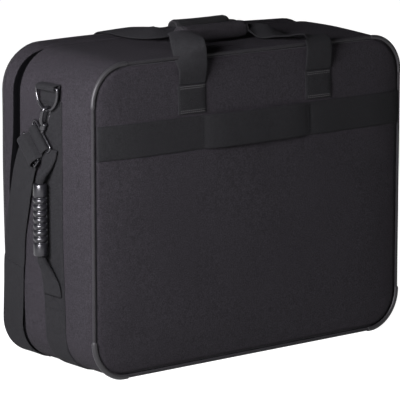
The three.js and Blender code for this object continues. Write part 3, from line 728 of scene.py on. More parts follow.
def wall_foam(name, node, y0, y1, surface):
    """Foam between the wall's cloth and the lining, rounded at both edges."""

    def outer(y):
        return surface(OUT_X, OUT_Z, OUT_NX, OUT_NZ, y) - 2.2

    profile = [(y, outer(y)) for y in np.linspace(y0 + 2, y1 - 2, 8)]
    profile += [(y1, outer(y1 - 2) - 1.5), (y1, -7.4), (y1 - 1, -8.2)]
    profile += [(y, np.full(OUT_X.shape, -8.3)) for y in np.linspace(y1 - 3, y0 + 3, 6)]
    profile += [(y0 + 1, -8.2), (y0, -7.4), (y0, outer(y0 + 2) - 1.5)]
    band = loop_band(name, profile, FOAM)
    stand_in(band, "foam", node)


def make_padding():
    low, high = low_high("body_foam")
    wall_foam("wall_foam", "body_foam", low[1], high[1], body_bulge)
    low, high = low_high("lid_foam")
    wall_foam("lid_edge_foam", "lid_foam", low[1], LID_FRONT - 17, lid_bulge)

    low, high = low_high("rear_board")
    x, z = coons(5.0, 24)
    board = grid("stiffener", xyz(x, low[1], z), BOARD, flat_uv=(0, 2))
    thicken(board, high[1] - low[1])
    modify(board, "BEVEL", width=0.8 * MM, segments=2, limit_method="ANGLE")
    stand_in(board, "board", "rear_board")


def lining_tub(name, node, floor_y, rim_y, toward, hem_y):
    """A fabric tub: soft walls, a rounded join to its floor, and a bound rim at the open end."""
    inset = 8.9
    rows = []
    for t in np.linspace(0, 1, 14):
        y = rim_y + (floor_y - rim_y) * t
        fold = 0.7 * ripple(OUT_X + OUT_Z, np.full(OUT_X.shape, y), 90, 9) * math.sin(math.pi * t)
        rows.append(ring_at(y, -inset - 0.5 - np.abs(fold)))
    rim = [ring_at(hem_y, -5.6), ring_at(hem_y + toward * 1.2, -7.0), ring_at(rim_y + toward * 0.6, -8.4)]
    wall = grid(f"{name}_wall", [*rim, *rows], LINING, around=True, flip=toward < 0)
    thicken(wall, 0.9, 1.0)
    x, z = coons(inset + 0.6, 30)
    true, eased = inner_distance(x, z, inset)
    soft = toward * (0.8 * ripple(x, z, 120, 7) * smooth(0, 50, true) + 1.2 * smooth(0, 40, eased))
    floor = xyz(x, floor_y - soft * 0.5, z)
    sheet = grid(f"{name}_floor", floor, LINING, flat_uv=(0, 2), flip=toward > 0)
    thicken(sheet, 0.9, 0.0)
    tub = join(name, [apply_modifiers(wall), apply_modifiers(sheet)])
    stand_in(tub, "lining", node)


def apply_modifiers(piece):
    """The same piece with its modifiers worked into the mesh."""
    graph = bpy.context.evaluated_depsgraph_get()
    mesh = bpy.data.meshes.new_from_object(piece.evaluated_get(graph))
    piece.modifiers.clear()
    piece.data = mesh
    return piece


def make_linings():
    low, high = low_high("body_lining")
    lining_tub("body_tub", "body_lining", low[1] + 0.8, high[1], 1, BODY_FRONT - 2.4)
    low, high = low_high("lid_lining")
    lining_tub("lid_tray", "lid_lining", high[1] - 0.8, low[1], -1, LID_REAR + 2.4)


def make_piping():
    """Fabric-covered cord round the rear edge, drooping a little between the corners."""
    wander = 0.5 * ripple(OUT_X, OUT_Z, 160, 11)
    path = ring_at(PIPING_Y - 0.3, -PIPING_INSET + 0.3 + wander * np.clip(OUT_NZ + 0.2, 0, 1))
    cord = tube("piping_cord", path, 2.5, BINDING, sides=14, closed=True, up=(0, 1, 0))
    stand_in(cord, "piping", "rear_piping")

    line = ring_at(PIPING_Y + 2.6, -1.2)
    away = line - ring_at(PIPING_Y + 2.2, -2.9)
    row = (np.vstack([line, line[:1]]), np.vstack([away, away[:1]]))
    sew("piping_seam", [row], "piping", "case_body", pitch=4.0, length=3.0)


def corner_points(level, side, count):
    """Directions and centre for a corner of the outline, on the given side (-1 or 1)."""
    z = TOP - CORNER if level == "upper" else BASE + CORNER
    start = 90 if level == "upper" else 180
    turns = np.radians(np.linspace(start - 3, start + 93, count))
    out = np.stack([-side * np.cos(turns), np.zeros(count), np.sin(turns)], axis=-1)
    return np.array([side * (HALF - CORNER), PIPING_Y, z]), out


def make_guards():
    """Leathercloth channels over the piping, thicker at their stitched ends."""
    for level in ("upper", "lower"):
        for side, word in ((-1, "left"), (1, "right")):
            centre, out = corner_points(level, side, 30)
            middle = centre + out * (CORNER - PIPING_INSET + 0.3)
            tips = np.abs(np.linspace(-1, 1, 30))
            rows = []
            for angle in np.linspace(-0.35, 2.7, 12):
                lip = 0.25 * smooth(0.8, 1.0, abs((angle - 1.17) / 1.52))
                radius = 3.55 + 0.2 * smooth(0.86, 0.97, tips) - 0.5 * smooth(0.985, 1.0, tips) - lip
                rows.append(
                    middle
                    + out * (radius * math.cos(angle))[:, None]
                    + np.array([0, -1, 0]) * (radius * math.sin(angle))[:, None]
                )
            rows = np.array(rows)
            rows[..., 2] = np.maximum(rows[..., 2], 0.5)
            cover = grid(f"guard_{level}_{word}", rows, GUARD, flip=(side > 0) == (level == "upper"))
            thicken(cover, 0.8, -1.0)
            subdivide(cover)
            stand_in(cover, "guard", f"corner_guard_{level}_{word}")


# ---- Webbing on the body ----
def strip_on_panel(name, x0, x1, z0, z1, surface, lift, material, stand=None):
    """A rectangle of webbing lying on a panel, rounded at its edges."""
    nx = max(8, round((x1 - x0) / 6))
    u = np.concatenate([[0, 0.004], np.linspace(0.02, 0.98, nx), [0.996, 1]])
    v = np.concatenate([[0, 0.012, 0.04], np.linspace(0.1, 0.9, 7), [0.96, 0.988, 1]])
    x, z = np.meshgrid(x0 + (x1 - x0) * u, z0 + (z1 - z0) * v)
    edge = np.minimum.reduce([x - x0, x1 - x, z - z0, z1 - z])
    rise = lift - 1.0 * (1 - smooth(0, 2.2, edge)) + (0 if stand is None else stand(x, z))
    return grid(name, surface(x, z, rise), material, flat_uv=(0, 2), flip=surface is lid_surface)


SLEEVE_SEAM = 102.0


def sleeve_stand(x, z):
    """The sleeve's slack between its two seams, with a pull at each seam."""
    t = np.clip(np.abs(x) / SLEEVE_SEAM, 0, 1)
    slack = 5.2 * (1 - t**4) * (np.abs(x) < SLEEVE_SEAM)
    pinch = -0.7 * np.exp(-(((np.abs(x) - SLEEVE_SEAM) / 2.2) ** 2))
    wave = 0.35 * ripple(x, z * 0.4, 90, 12)
    return slack + pinch + wave * smooth(0, 12, HALF - 6 - np.abs(x))


def make_sleeve():
    low, high = low_high("sleeve_strap")
    strap = strip_on_panel(
        "sleeve_webbing", low[0], high[0], low[2], high[2], rear_surface, 2.2, WEBBING, sleeve_stand
    )
    thicken(strap, TAPE)
    stand_in(strap, "webbing", "sleeve_strap")
    rows = []
    for seam in (-SLEEVE_SEAM, SLEEVE_SEAM):
        for x in (seam - 1.6, seam + 1.6):
            z = np.linspace(low[2] + 2, high[2] - 2, 16)
            rows.append((rear_surface(x, z, 2.3 + sleeve_stand(x, z)), (0, -1, 0)))
        z = np.linspace(low[2] - 17, low[2] - 1, 6)
        rows.append((rear_surface(seam, z, 0.1), (0, -1, 0)))
    sew("sleeve_seams", rows, "webbing", "case_body", pitch=3.0, length=2.1)


def make_anchors():
    """Stitched ends of the carry handles: doubled webbing with a light row along the top and bottom."""
    for word in ("left", "right"):
        for panel, surface, normal, body in (
            ("rear", rear_surface, (0, -1, 0), "case_body"),
            ("lid", lid_surface, (0, 1, 0), "lid"),
        ):
            low, high = low_high(f"{panel}_anchor_{word}")
            patch = strip_on_panel(
                f"{panel}_tab_{word}", low[0], high[0], low[2], high[2] + 1, surface, 2.3, WEBBING
            )
            thicken(patch, TAPE)
            stand_in(patch, "webbing", f"{panel}_anchor_{word}")
            rows = []
            for z in (low[2] + 2.6, low[2] + 5.4, high[2] - 4.4, high[2] - 1.6):
                rows.append((surface(np.linspace(low[0] + 2.5, high[0] - 2.5, 14), z, 2.35), normal))
            name = f"{panel}_bartack_{word}"
            sew(name, rows, "webbing", body, THREAD_LIGHT, pitch=3.6, length=2.5, radius=0.5)
            sides = []
            for x in (low[0] + 2.6, high[0] - 2.6):
                sides.append((surface(x, np.linspace(low[2] + 7, high[2] - 6, 12), 2.35), normal))
            x = np.linspace(low[0] + 4, high[0] - 4, 20)
            rising = np.linspace(low[2] + 8, high[2] - 7, 20)
            sides += [(surface(x, z, 2.4), normal) for z in (rising, rising[::-1])]
            sew(f"{panel}_boxstitch_{word}", sides, "webbing", body, pitch=3.4, length=2.3, radius=0.26)


def wall_strip(path_index, y0, y1, lift):
    """Webbing points on the body wall over stations of the outline."""
    across = np.concatenate([[0, 0.015, 0.05], np.linspace(0.12, 0.88, 7), [0.95, 0.985, 1]])
    rows = []
    for t in across:
        y = y0 + (y1 - y0) * t
        x, z, nx, nz = (a[path_index] for a in (OUT_X, OUT_Z, OUT_NX, OUT_NZ))
        edge = min(t, 1 - t) * (y1 - y0)
        rise = lift - 0.9 * (1 - float(smooth(0, 2.2, edge)))
        out = body_bulge(x, z, nx, nz, y) + rise
        rows.append(xyz(x + nx * out, y, z + nz * out))
    return np.array(rows)


def make_girth():
    """Webbing up both sides and under the base, with box stitches below the grips."""
    order = np.arange(len(OUT_X))
    right = order[(OUT_X > 0) & (OUT_Z < GIRTH_TOP + 0.5) & ((OUT_NX > 0) | (OUT_NZ < 0))]
    left = order[(OUT_X <= 0) & (OUT_Z < GIRTH_TOP + 0.5) & ((OUT_NX < 0) | (OUT_NZ < 0))]
    left = left[left > len(order) // 2]
    index = np.concatenate([left, order[:1], right[right > 0]])
    points = wall_strip(index, GIRTH_LOW[1], GIRTH_HIGH[1], 1.9)
    strap = grid("girth_strap", points, WEBBING, flip=True)
    thicken(strap, 1.6)
    stand_in(strap, "webbing", "girth_webbing")

    rows = []
    for side in (-1, 1):
        for y in (GIRTH_LOW[1] + 2.4, GIRTH_HIGH[1] - 2.4):
            z = np.concatenate([np.linspace(84, 142, 20), np.linspace(316, 398, 28)])
            for part in (z[:20], z[20:]):
                rows.append(side_row(side, y, part))
        for z0 in (96, 128, 320):
            rows.append(side_row(side, np.linspace(GIRTH_LOW[1] + 3, GIRTH_HIGH[1] - 3, 14), z0))
        y = np.linspace(GIRTH_LOW[1] + 3, GIRTH_HIGH[1] - 3, 20)
        rows.append(side_row(side, y, np.linspace(96, 128, 20)))
        rows.append(side_row(side, y, np.linspace(128, 96, 20)))
    sew("girth_stitching", rows, "webbing", "case_body", pitch=3.4, length=2.4)


def side_point(side, y, z, lift):
    """A point standing off the straight part of a side wall."""
    z = np.asarray(z, float)
    return xyz(side * (HALF + body_bulge(side * HALF, z, side, 0, y) + lift), y, z)


def side_row(side, y, z):
    return side_point(side, y, z, 1.95), (side, 0, 0)


# ---- Lid ----
def make_lid():
    seam = low_high("lid_rim")[1][1]
    edge_y = seam + 0.3
    radius = 15.5
    near = [LID_REAR + t for t in (0, 0.15, 0.6, 1.4, 2.6, 4.2, 6.2, 8.6, 11.5, 15, 19, 23)]
    rows = [ring_at(LID_REAR + 1.4, -6.0)]
    rows += [ring_at(y, lid_wall(OUT_X, OUT_Z, OUT_NX, OUT_NZ, y)) for y in [*near, seam - 0.6, seam + 0.2]]
    rim = grid("lid_rim_cloth", rows, FABRIC, around=True, flip=True)
    thicken(rim, CLOTH)
    stand_in(rim, "case_fabric", "lid_rim")

    def dome(angle):
        cosine, sine = polar(1, angle)
        out = lid_wall(OUT_X, OUT_Z, OUT_NX, OUT_NZ, edge_y) * cosine**0.7
        return ring_at(edge_y + 15.7 * sine, out - radius * (1 - cosine))

    cover_rows = [dome(a) for a in (0, 8, 18, 28, 38, 48, 58, 68, 78, 86)]
    edge = grid("lid_cover_edge", cover_rows, FABRIC, around=True, flip=True)
    x, z = coons(radius - 0.9, 60)
    true, _ = inner_distance(x, z, 14.6)
    points = lid_surface(x, z)
    points[..., 1] -= 0.35 * np.exp(-true / 3)
    front = grid("lid_cover_front", points, FABRIC, flat_uv=(0, 2), flip=True)
    for part in (edge, front):
        thicken(part, CLOTH)
    cover = join("lid_cover", [apply_modifiers(edge), apply_modifiers(front)])
    stand_in(cover, "case_fabric", "lid_panel")

    binding = ring_at(seam, lid_wall(OUT_X, OUT_Z, OUT_NX, OUT_NZ, seam) + 0.1)
    cord = tube("lid_seam_cord", binding, 1.3, BINDING, sides=8, closed=True, up=(0, 1, 0))
    with_body(cord, "lid")

    low, high = low_high("hinge_fabric")
    x = np.linspace(low[0], high[0], 40)
    rows = []
    for t in np.linspace(0, 1, 9):
        sag = 0.35 * math.sin(math.pi * t)
        y = BODY_FRONT - 3 + t * (LID_REAR + 3 - BODY_FRONT + 3)
        rows.append(xyz(x, y, low[2] + 1.0 - sag))
    hinge = grid("hinge_cloth", rows, FABRIC, flip=True)
    thicken(hinge, 0.9)
    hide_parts("hinge_fabric")
    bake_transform(hinge)


# ---- Zip ----
def zip_stations():
    """Stations of the outline that the zip runs along: up one side, over the top and down the other."""
    order = np.arange(len(OUT_X))
    start = np.argmin(np.hypot(OUT_X - (HALF - CORNER), OUT_Z - BASE))
    end = np.argmin(np.hypot(OUT_X + (HALF - CORNER), OUT_Z - BASE))
    return order[start : end + 1]


def tape_shade_row(body, x, z, nx, nz, t):
    """A row of the near-black tape where it climbs a rolled edge, laid there as painted shade for the zip
    recess: widest halfway up the sides.
    """
    if body == "lid":
        y = LID_REAR + t * (0.5 + 2.5 * nx**2 + 1.0 * (edge_radius_lid(z, nx) - 3.5))
        out = lid_wall(x, z, nx, nz, y)
    else:
        y = BODY_FRONT - t * (0.5 + 3.0 * nx**2)
        out = body_wall(x, z, nx, nz, y)
    out = out + 0.45
    return xyz(x + nx * out, y, z + nz * out)


def make_zip():
    pick = zip_stations()
    x, z, nx, nz = (a[pick] for a in (OUT_X, OUT_Z, OUT_NX, OUT_NZ))

    def strip(y, offset):
        return xyz(x + nx * offset, y, z + nz * offset)

    for body, sign, edge in (("body", -1, BODY_FRONT), ("lid", 1, LID_REAR)):
        # Each tape runs from the coil up over the rolled edge; its near-black colour there is painted shade
        # of the zip recess.
        rows = [strip(ZIP_Y + sign * 0.5, -4.2), strip(edge - sign * 0.2, -3.9)]
        rows += [tape_shade_row(body, x, z, nx, nz, t) for t in (0.06, 0.14, 0.25, 0.4, 0.6, 0.8, 1.0)]
        tape = grid(f"{body}_zip_shade_cloth", rows, ZIP_TAPE_PAINTED_SHADE, flip=sign > 0)
        thicken(tape, 0.8, 0.0)
        stand_in(tape, "zip", f"{body}_zip_tape")
        path = spline(strip(ZIP_Y + sign * 0.9, -3.7), 8)
        run = run_length(path)
        centres = at_distance(np.arange(0, run[-1], 2.6) + (0 if sign > 0 else 1.3), run, path)
        tangent = unit(np.gradient(centres, axis=0))
        out = unit(np.cross(tangent, np.array([0.0, 1.0, 0.0])))
        vertices, faces = [], []
        for c, t, o in zip(centres, tangent, out):
            start = len(vertices)
            for reach, width in ((-1.5, 0.45), (-0.6, 0.55), (0.5, 0.5), (1.1, 0.3)):
                for a, b in ((-1, -1), (-1, 1), (1, 1), (1, -1)):
                    vertices.append(c - np.array([0, sign * reach, 0]) + t * a * width + o * b * 0.55)
            for k in range(3):
                for j in range(4):
                    n = (j + 1) % 4
                    low = start + 4 * k
                    faces.append([low + j, low + n, low + 4 + n, low + 4 + j])
            faces.append([start + 3, start + 2, start + 1, start])
            faces.append([start + 12, start + 13, start + 14, start + 15])
        teeth = make_mesh(f"{body}_zip_coil", vertices, faces, COIL, shade_smooth=False)
        with_body(teeth, "case_body" if body == "body" else "lid")


def box_part(x0, x1, y0, y1, z0, z1):
    corners = [(x, y, z) for x in (x0, x1) for y in (y0, y1) for z in (z0, z1)]
    faces = [(0, 1, 3, 2), (4, 6, 7, 5), (0, 4, 5, 1), (2, 3, 7, 6), (0, 2, 6, 4), (1, 5, 7, 3)]
    return np.array(corners, float), faces


def merge_parts(name, parts, material, bevel):
    vertices, faces = [], []
    for points, sides in parts:
        faces += [[i + len(vertices) for i in face] for face in sides]
        vertices += list(points)
    piece = make_mesh(name, vertices, faces, material, shade_smooth=True)
    modify(piece, "BEVEL", width=bevel * MM, segments=2, limit_method="ANGLE")
    return piece


def make_pull(letter, side, y):
    """A wire loop with a short leaf across its middle, lying out from its slider."""
    low, high = low_high(f"zip_pull_{letter}")
    inner, outer = (low[0], high[0]) if side > 0 else (high[0], low[0])
    z = (low[2] + high[2]) / 2
    profile = ((0.0, 3.6), (6, 3.7), (16, 3.1), (26, 3.4), (29, 2.4), (30, 0.0))
    loop = [(inner + side * along, y + half, z) for along, half in profile]
    loop += [(inner + side * along, y - half, z) for along, half in profile[-2::-1]]
    wire = tube(f"pull_{letter}", spline([*loop, loop[0]], 5)[:-1], 0.75, METAL, sides=8, closed=True)
    bars = []
    for along in (8, 9.5):
        x = inner + side * along
        bars.append(tube(f"pull_bar_{letter}", [(x, y + t, z) for t in (-3.4, 0, 3.4)], 0.7, METAL, sides=8))
    x0, x1 = sorted((inner + side * 9, outer - side))
    plate = box_part(x0, x1, y - 2.9, y + 2.9, z - 0.45, z + 0.45)
    leaf = merge_parts(f"pull_leaf_{letter}", [plate], METAL, 0.4)
    stand_in(join(f"pull_{letter}", [wire, *bars, apply_modifiers(leaf)]), "metal", f"zip_pull_{letter}")


def make_sliders():
    for letter, side in (("a", -1), ("b", 1)):
        low, high = low_high(f"zip_slider_{letter}")
        x, y = (low[0] + high[0]) / 2, (low[1] + high[1]) / 2
        plate, faces = box_part(-6, 6, -3.8, 3.8, low[2], high[2] - 3.2)
        plate[:, 1] *= np.where(plate[:, 0] * side > 0, 0.62, 1.0)
        plate += (x, y, 0)
        parts = [(plate, faces)]
        for x0, x1 in ((-4, -2.2), (2.2, 4)):
            parts.append(box_part(x + x0, x + x1, y - 1, y + 1, high[2] - 3.4, high[2] - 1))
        parts.append(box_part(x - 4, x + 4, y - 1, y + 1, high[2] - 1, high[2]))
        stand_in(merge_parts(f"slider_{letter}", parts, METAL, 0.35), "metal", f"zip_slider_{letter}")
        make_pull(letter, side, y)


# ---- Carry handles ----
def handle_loop(name, stations, material, node):
    """Handle webbing through stations of (point, across, width, thickness, bow)."""
    table = np.array([[*at, *across, *shape] for at, across, *shape in stations], float)
    line = spline(table, 8)
    piece = webbing(name, line[:, :3], line[:, 3:6], line[:, 6], line[:, 7], material, line[:, 8])
    subdivide(piece)
    stand_in(piece, "webbing", node)


def padded_wrap(name, material, node, slot, seam_angle):
    """A stuffed sleeve round the webbing, gathered at both ends, with its overlap along one side."""
    low, high = low_high(node)
    x0, x1 = low[0], high[0]
    _, y, z = (low + high) / 2
    _, depth, height = (high - low) / 2
    near = [0, 0.004, 0.015, 0.04, 0.08]
    span = np.concatenate([near, np.linspace(0.14, 0.86, 13), [0.92, 0.96, 0.985, 0.996, 1]])
    turn = full_turn(40)
    past_seam = np.mod(turn - seam_angle, 2 * math.pi)
    overlap = 1 + 0.035 * smooth(0, 0.25, past_seam) * (past_seam < 2.2)
    squash = 1 - 0.08 * np.clip(-np.sin(turn), 0, 1)
    across, up = (np.sign(wave) * np.abs(wave) ** 0.86 for wave in (np.cos(turn), np.sin(turn)))
    rows = []
    for t in span:
        end = min(t, 1 - t)
        waist = 0.03 * float(np.exp(-(((end - 0.07) / 0.02) ** 2)))
        fill = 0.52 + 0.48 * float(smooth(0, 0.035, end)) - waist
        sag = -1.2 * math.sin(math.pi * t)
        uneven = 1 + 0.025 * ripple(np.full(turn.shape, t * 150), turn * 12, 60, 4)
        grow = fill * uneven * overlap
        rows.append(xyz(x0 + (x1 - x0) * t, y + depth * grow * across, z + sag + height * grow * squash * up))
    piece = grid(name, rows, material, around=True, caps=True)
    subdivide(piece)
    stand_in(piece, slot, node)
    body = frame["nodes"][node]["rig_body"]
    for end, x in (("low", x0 + 2.2), ("high", x1 - 2.2)):
        hem = xyz(x, y + 0.8 * depth * np.cos(turn), z + 0.8 * height * np.sin(turn))
        with_body(tube(f"{name}_hem_{end}", hem, 1.7, BINDING, 8, closed=True, up=(1, 0, 0)), body)
    seams = []
    closed_turn = np.append(turn, turn[0])
    for t in (0.055, 0.945):
        x = x0 + (x1 - x0) * t
        ring = xyz(x, y + depth * np.cos(closed_turn), z + height * 0.99 * np.sin(closed_turn))
        seams.append((ring, ring - np.array([x, y, z])))
    sew(f"{name}_stitching", seams, slot, body, pitch=3.2, length=2.2)


REAR_LEG = 121.0
LID_LEG = 98.0
FOOT_Z = 422.6


def make_handles():
    low, high = low_high("rear_handle_wrap")
    y, z = (low[1] + high[1]) / 2, (low[2] + high[2]) / 2
    x0, x1 = low[0], high[0]
    padded_wrap("rear_wrap", FABRIC_TOP, "rear_handle_wrap", "wrap_fabric", 3.6)
    foot = REAR - float(rear_crown(REAR_LEG, 422.0)) - 1.4
    stations = [
        ((-REAR_LEG, foot, FOOT_Z), (1, 0, 0), WEB, STRAP, 0),
        ((-REAR_LEG, foot - 1.5, 432), (1, 0, 0), WEB, STRAP, 0),
        ((-REAR_LEG, foot - 2.5, 446), (1, -0.08, 0), WEB, STRAP, 0.5),
        ((-122.5, foot - 0.5, 460), (0.95, -0.3, 0), WEB, STRAP, 1),
        ((-125, -118, 474), (0.8, -0.6, 0), WEB, STRAP, 2),
        ((-122, -110, 485), (0.8, -0.6, 0), WEB, STRAP, 3),
        ((-115, -97, 489.5), (0.85, -0.52, 0), 48, STRAP, 5),
        ((-106, -80, 489.5), (0.85, -0.52, 0), 45, STRAP, 5),
        ((-96, -62, 486.5), (0.7, -0.7, 0), 40, 2.0, 5),
        ((-86, -46, 484), (0.45, -0.9, 0), 33, 2.4, 4),
        ((x0 - 2, y - 3, z), (0.1, -1, 0), 25, 4, 1),
        ((x0 + 12, y, z), (0, -1, 0), 20, 4, 0),
        ((x1 - 12, y, z), (0, -1, 0), 20, 4, 0),
        ((x1 + 2, y - 3, z), (-0.2, -0.95, -0.15), 26, 3.6, 1),
        ((66, -41, 479), (-0.55, -0.75, -0.5), 34, 2.4, 1),
        ((76, -52, 476), (-0.65, -0.65, -0.4), 40, 2.0, 1),
        ((88, -66, 472), (-0.8, -0.55, 0.0), 43, STRAP, 0),
        ((101, -84, 470.5), (-0.92, -0.35, 0.13), 46, STRAP, 0),
        ((112, -101, 472.5), (-0.98, -0.15, 0.15), 49, STRAP, 0),
        ((118, -114, 473), (-1, -0.05, 0.08), WEB, STRAP, 0.5),
        ((120.5, foot - 2.5, 462), (-1, 0, 0), WEB, STRAP, 0.5),
        ((REAR_LEG, foot - 3, 446), (-1, 0, 0), WEB, STRAP, 0.5),
        ((REAR_LEG, foot - 1.5, 432), (-1, 0, 0), WEB, STRAP, 0),
        ((REAR_LEG, foot, FOOT_Z), (-1, 0, 0), WEB, STRAP, 0),
    ]
    handle_loop("rear_handle_strap", stations, WEBBING, "rear_handle_webbing")

    low, high = low_high("lid_handle_wrap")
    y, z = (low[1] + high[1]) / 2, (low[2] + high[2]) / 2
    x0, x1 = low[0], high[0]
    padded_wrap("lid_wrap", WEBBING_FOLDED, "lid_handle_wrap", "wrap_webbing", 0.6)
    foot = LID_FRONT + float(lid_crown(LID_LEG, 422.0)) + 1.4
    stations = [
        ((-LID_LEG, foot, FOOT_Z), (-1, 0, 0), WEB, STRAP, 0),
        ((-LID_LEG, foot + 2, 432), (-1, 0, 0), WEB, STRAP, 0),
        ((-LID_LEG, foot + 3, 446), (-1, 0, 0), WEB, STRAP, 0),
        ((-LID_LEG, foot - 1, TOP + 8), (-1, 0, -0.02), WEB, STRAP, 0),
        ((-LID_LEG, 96, TOP + 16), (-1, 0, -0.05), WEB, STRAP, 0.5),
        ((-99, 60, TOP + 18), (-1, -0.05, -0.16), WEB, STRAP, 1),
        ((-97, 30, TOP + 18.5), (-1, -0.25, -0.25), WEB, STRAP, 2),
        ((-86, 12, TOP + 19.5), (-0.75, -0.8, -0.3), 46, STRAP, 3),
        ((-68, 11, TOP + 20.5), (-0.3, -1, -0.2), 38, 2.4, 2),
        ((x0 - 4, 18, z), (0, -1, 0), 26, 4, 0),
        ((x0 + 12, y, z), (0, -1, 0), 20, 4, 0),
        ((x1 - 12, y, z), (0, -1, 0), 20, 4, 0),
        ((x1 - 2, 22, z), (0, -1, 0), 24, 4, 0),
        ((70, 34, TOP + 19), (0.5, -1, 0), 36, 2.4, 1),
        ((84, 56, TOP + 18), (1, -0.6, 0), 46, STRAP, 1),
        ((94, 84, TOP + 17), (1, -0.2, 0), WEB, STRAP, 0),
        ((LID_LEG, foot - 8, TOP + 12), (1, 0, 0), WEB, STRAP, 0),
        ((LID_LEG, foot + 1, TOP + 1), (1, 0, 0), WEB, STRAP, 0),
        ((LID_LEG, foot + 3, 446), (1, 0, 0), WEB, STRAP, 0),
        ((LID_LEG, foot + 2, 432), (1, 0, 0), WEB, STRAP, 0),
        ((LID_LEG, foot, FOOT_Z), (1, 0, 0), WEB, STRAP, 0),
    ]
    handle_loop("lid_handle_strap", stations, WEBBING, "lid_handle_webbing")


# ---- Side grips ----
def make_grips():
    for side, word in ((-1, "left"), (1, "right")):
        low, high = low_high(f"side_grip_{word}")
        cx, cy = (low[0] + high[0]) / 2, (low[1] + high[1]) / 2
        radius = (high[1] - low[1]) / 2
        z0, z1 = low[2], high[2]
        collar, ribs = 20.0, 7
        pitch = (z1 - z0 - 2 * collar) / ribs
        collar_end = ((0, 1.4), (0.6, 0.6), (1.8, 0.0), (collar - 2.4, 0.0))
        profile = [(z0 + rise, depth, 0.0) for rise, depth in collar_end]
        for i in range(ribs + 1):
            z = z0 + collar + i * pitch
            for shift, depth in ((-1.9, 0.25), (-1.3, 1.3), (-0.7, 2.1), (0.7, 2.1), (1.3, 1.3), (1.9, 0.25)):
                profile.append((z + shift, 0.0, depth))
            if i < ribs:
                profile.append((z + pitch / 2, 0.0, -0.35))
        profile += [(z1 - drop, depth, 0.0) for drop, depth in reversed(collar_end)]
        turn = full_turn(48)
        mask = smooth(-0.62, -0.35, -np.cos(turn))
        rows = []
        for level, all_round, ribbed in profile:
            r = radius - all_round - ribbed * mask - 0.3 * (1 - mask)
            rows.append(level_ring(cx, cy, level, -side * r, r, turn))
        bore = radius - 4.6
        rows += [level_ring(cx, cy, level, -side * bore, bore, turn) for level in (z1 - 0.4, z0 + 0.4)]
        body = grid(f"grip_{word}", rows, GRIP, around=True, along=True, flip=side < 0)
        stand_in(body, "grip_plastic", f"side_grip_{word}")
        dots = []
        for i in range(ribs + 1):
            z = z0 + collar + i * pitch
            for across in (-1, 1):
                out, along = polar(radius, 118)
                at = (cx + side * out, cy + across * along * 0.97, z)
                dots.append(bead(f"dot_{word}_{i}_{across + 1}", at, 1.15, GRIP))
        with_body(join(f"grip_studs_{word}", dots), f"grip_{word}")
        grip_strap(side, word, cx, cy, z0, z1)


def bead(name, at, radius, material):
    rows = []
    for latitude in np.linspace(-85, 85, 7):
        reach, rise = polar(radius, latitude)
        rows.append(level_ring(at[0], at[1], at[2] + rise, reach, reach, full_turn(10)))
    return grid(name, rows, material, around=True, caps=True)


def grip_strap(side, word, cx, cy, z0, z1):
    """Webbing rolled to pass through the grip, opening out flat where it leaves the wall at both ends."""
    wall = HALF + 6
    shift = SIDE_Y - cy
    stations = [
        (HALF + float(side_fullness(z0 - 62.0)) + 3.4, z0 - 60, 22, 0.10, shift),
        (wall + 2.2, z0 - 40, 20, 0.18, shift),
        (wall + 6, z0 - 24, 13, 0.5, 0.6 * shift),
        (abs(cx) - 2, z0 - 9, 8.5, 0.85, 0.2 * shift),
        (abs(cx), z0 + 6, 5.2, 1.0, 0),
        (abs(cx), (z0 + z1) / 2, 5.2, 1.0, 0),
        (abs(cx), z1 - 6, 5.2, 1.0, 0),
        (abs(cx) - 1, z1 + 9, 8.0, 0.9, 0.3 * shift),
        (wall + 6.5, z1 + 23, 11, 0.6, 0.8 * shift),
        (wall + 3, z1 + 37, 16, 0.26, shift),
        (HALF + float(side_fullness(z1 + 50.0)) + 3.2, z1 + 50, 20, 0.12, shift),
    ]
    line = spline(np.array(stations), 7)
    turn = full_turn(28)
    rows = []
    for out, z, half, flat, aside in line:
        curl = 1 - smooth(0.1, 1.0, flat)
        c, s = np.cos(turn), np.sin(turn)
        lip = 0.25 * curl * np.exp(-(((np.abs(c) - 0.9) / 0.12) ** 2))
        depth = np.maximum(half * flat, 1.0)
        rows.append(xyz(side * (out + depth * (s + lip)), cy + aside + half * c, z))
    middle = len(rows) // 2
    halves = (
        (f"grip_strap_{word}_low", rows[: middle + 1], z0 - 45, z0 - 8),
        (f"grip_strap_{word}_high", rows[middle:], z1 + 38, z1 + 8),
    )
    for name, part, fixed, free in halves:
        piece = grid(name, part, WEBBING, around=True, caps=True, flip=side > 0)
        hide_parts(f"grip_webbing_{word}")
        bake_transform(piece)


# ---- D-rings, hooks and strap ends ----
TILT = math.radians(20)
EYE_TILT = math.radians(26)
EYE_Z = -42.3


def turn_x(points, angle):
    points = np.asarray(points, float)
    c, s = math.cos(angle), math.sin(angle)
    x, y, z = points[..., 0], points[..., 1], points[..., 2]
    return xyz(x, y * c - z * s, y * s + z * c)


class Hanger:
    """Places pieces that hang from one D-ring: local points are out from the wall, along Y and down."""

    def __init__(self, side, word):
        self.side = side
        self.word = word
        low, high = low_high(f"d_ring_{word}")
        self.x = (low[0] + high[0]) / 2
        self.low = low[2] + 2.2
        self.half = (high[1] - low[1]) / 2 - 2.2
        self.bar = low_high(f"ring_tab_{word}")[1][2] - 4.8

    def hung(self, points):
        points = turn_x(points, TILT)
        points[..., 0] *= -self.side
        return points + np.array([self.x, SIDE_Y, self.low])

    def on_eye(self, points):
        points = turn_x(points, EYE_TILT)
        points[..., 2] += EYE_Z
        return self.hung(points)

    def heading(self, place, direction):
        """A local direction in the row frame, with hung or on_eye as the place."""
        return place([direction])[0] - place([[0, 0, 0]])[0]


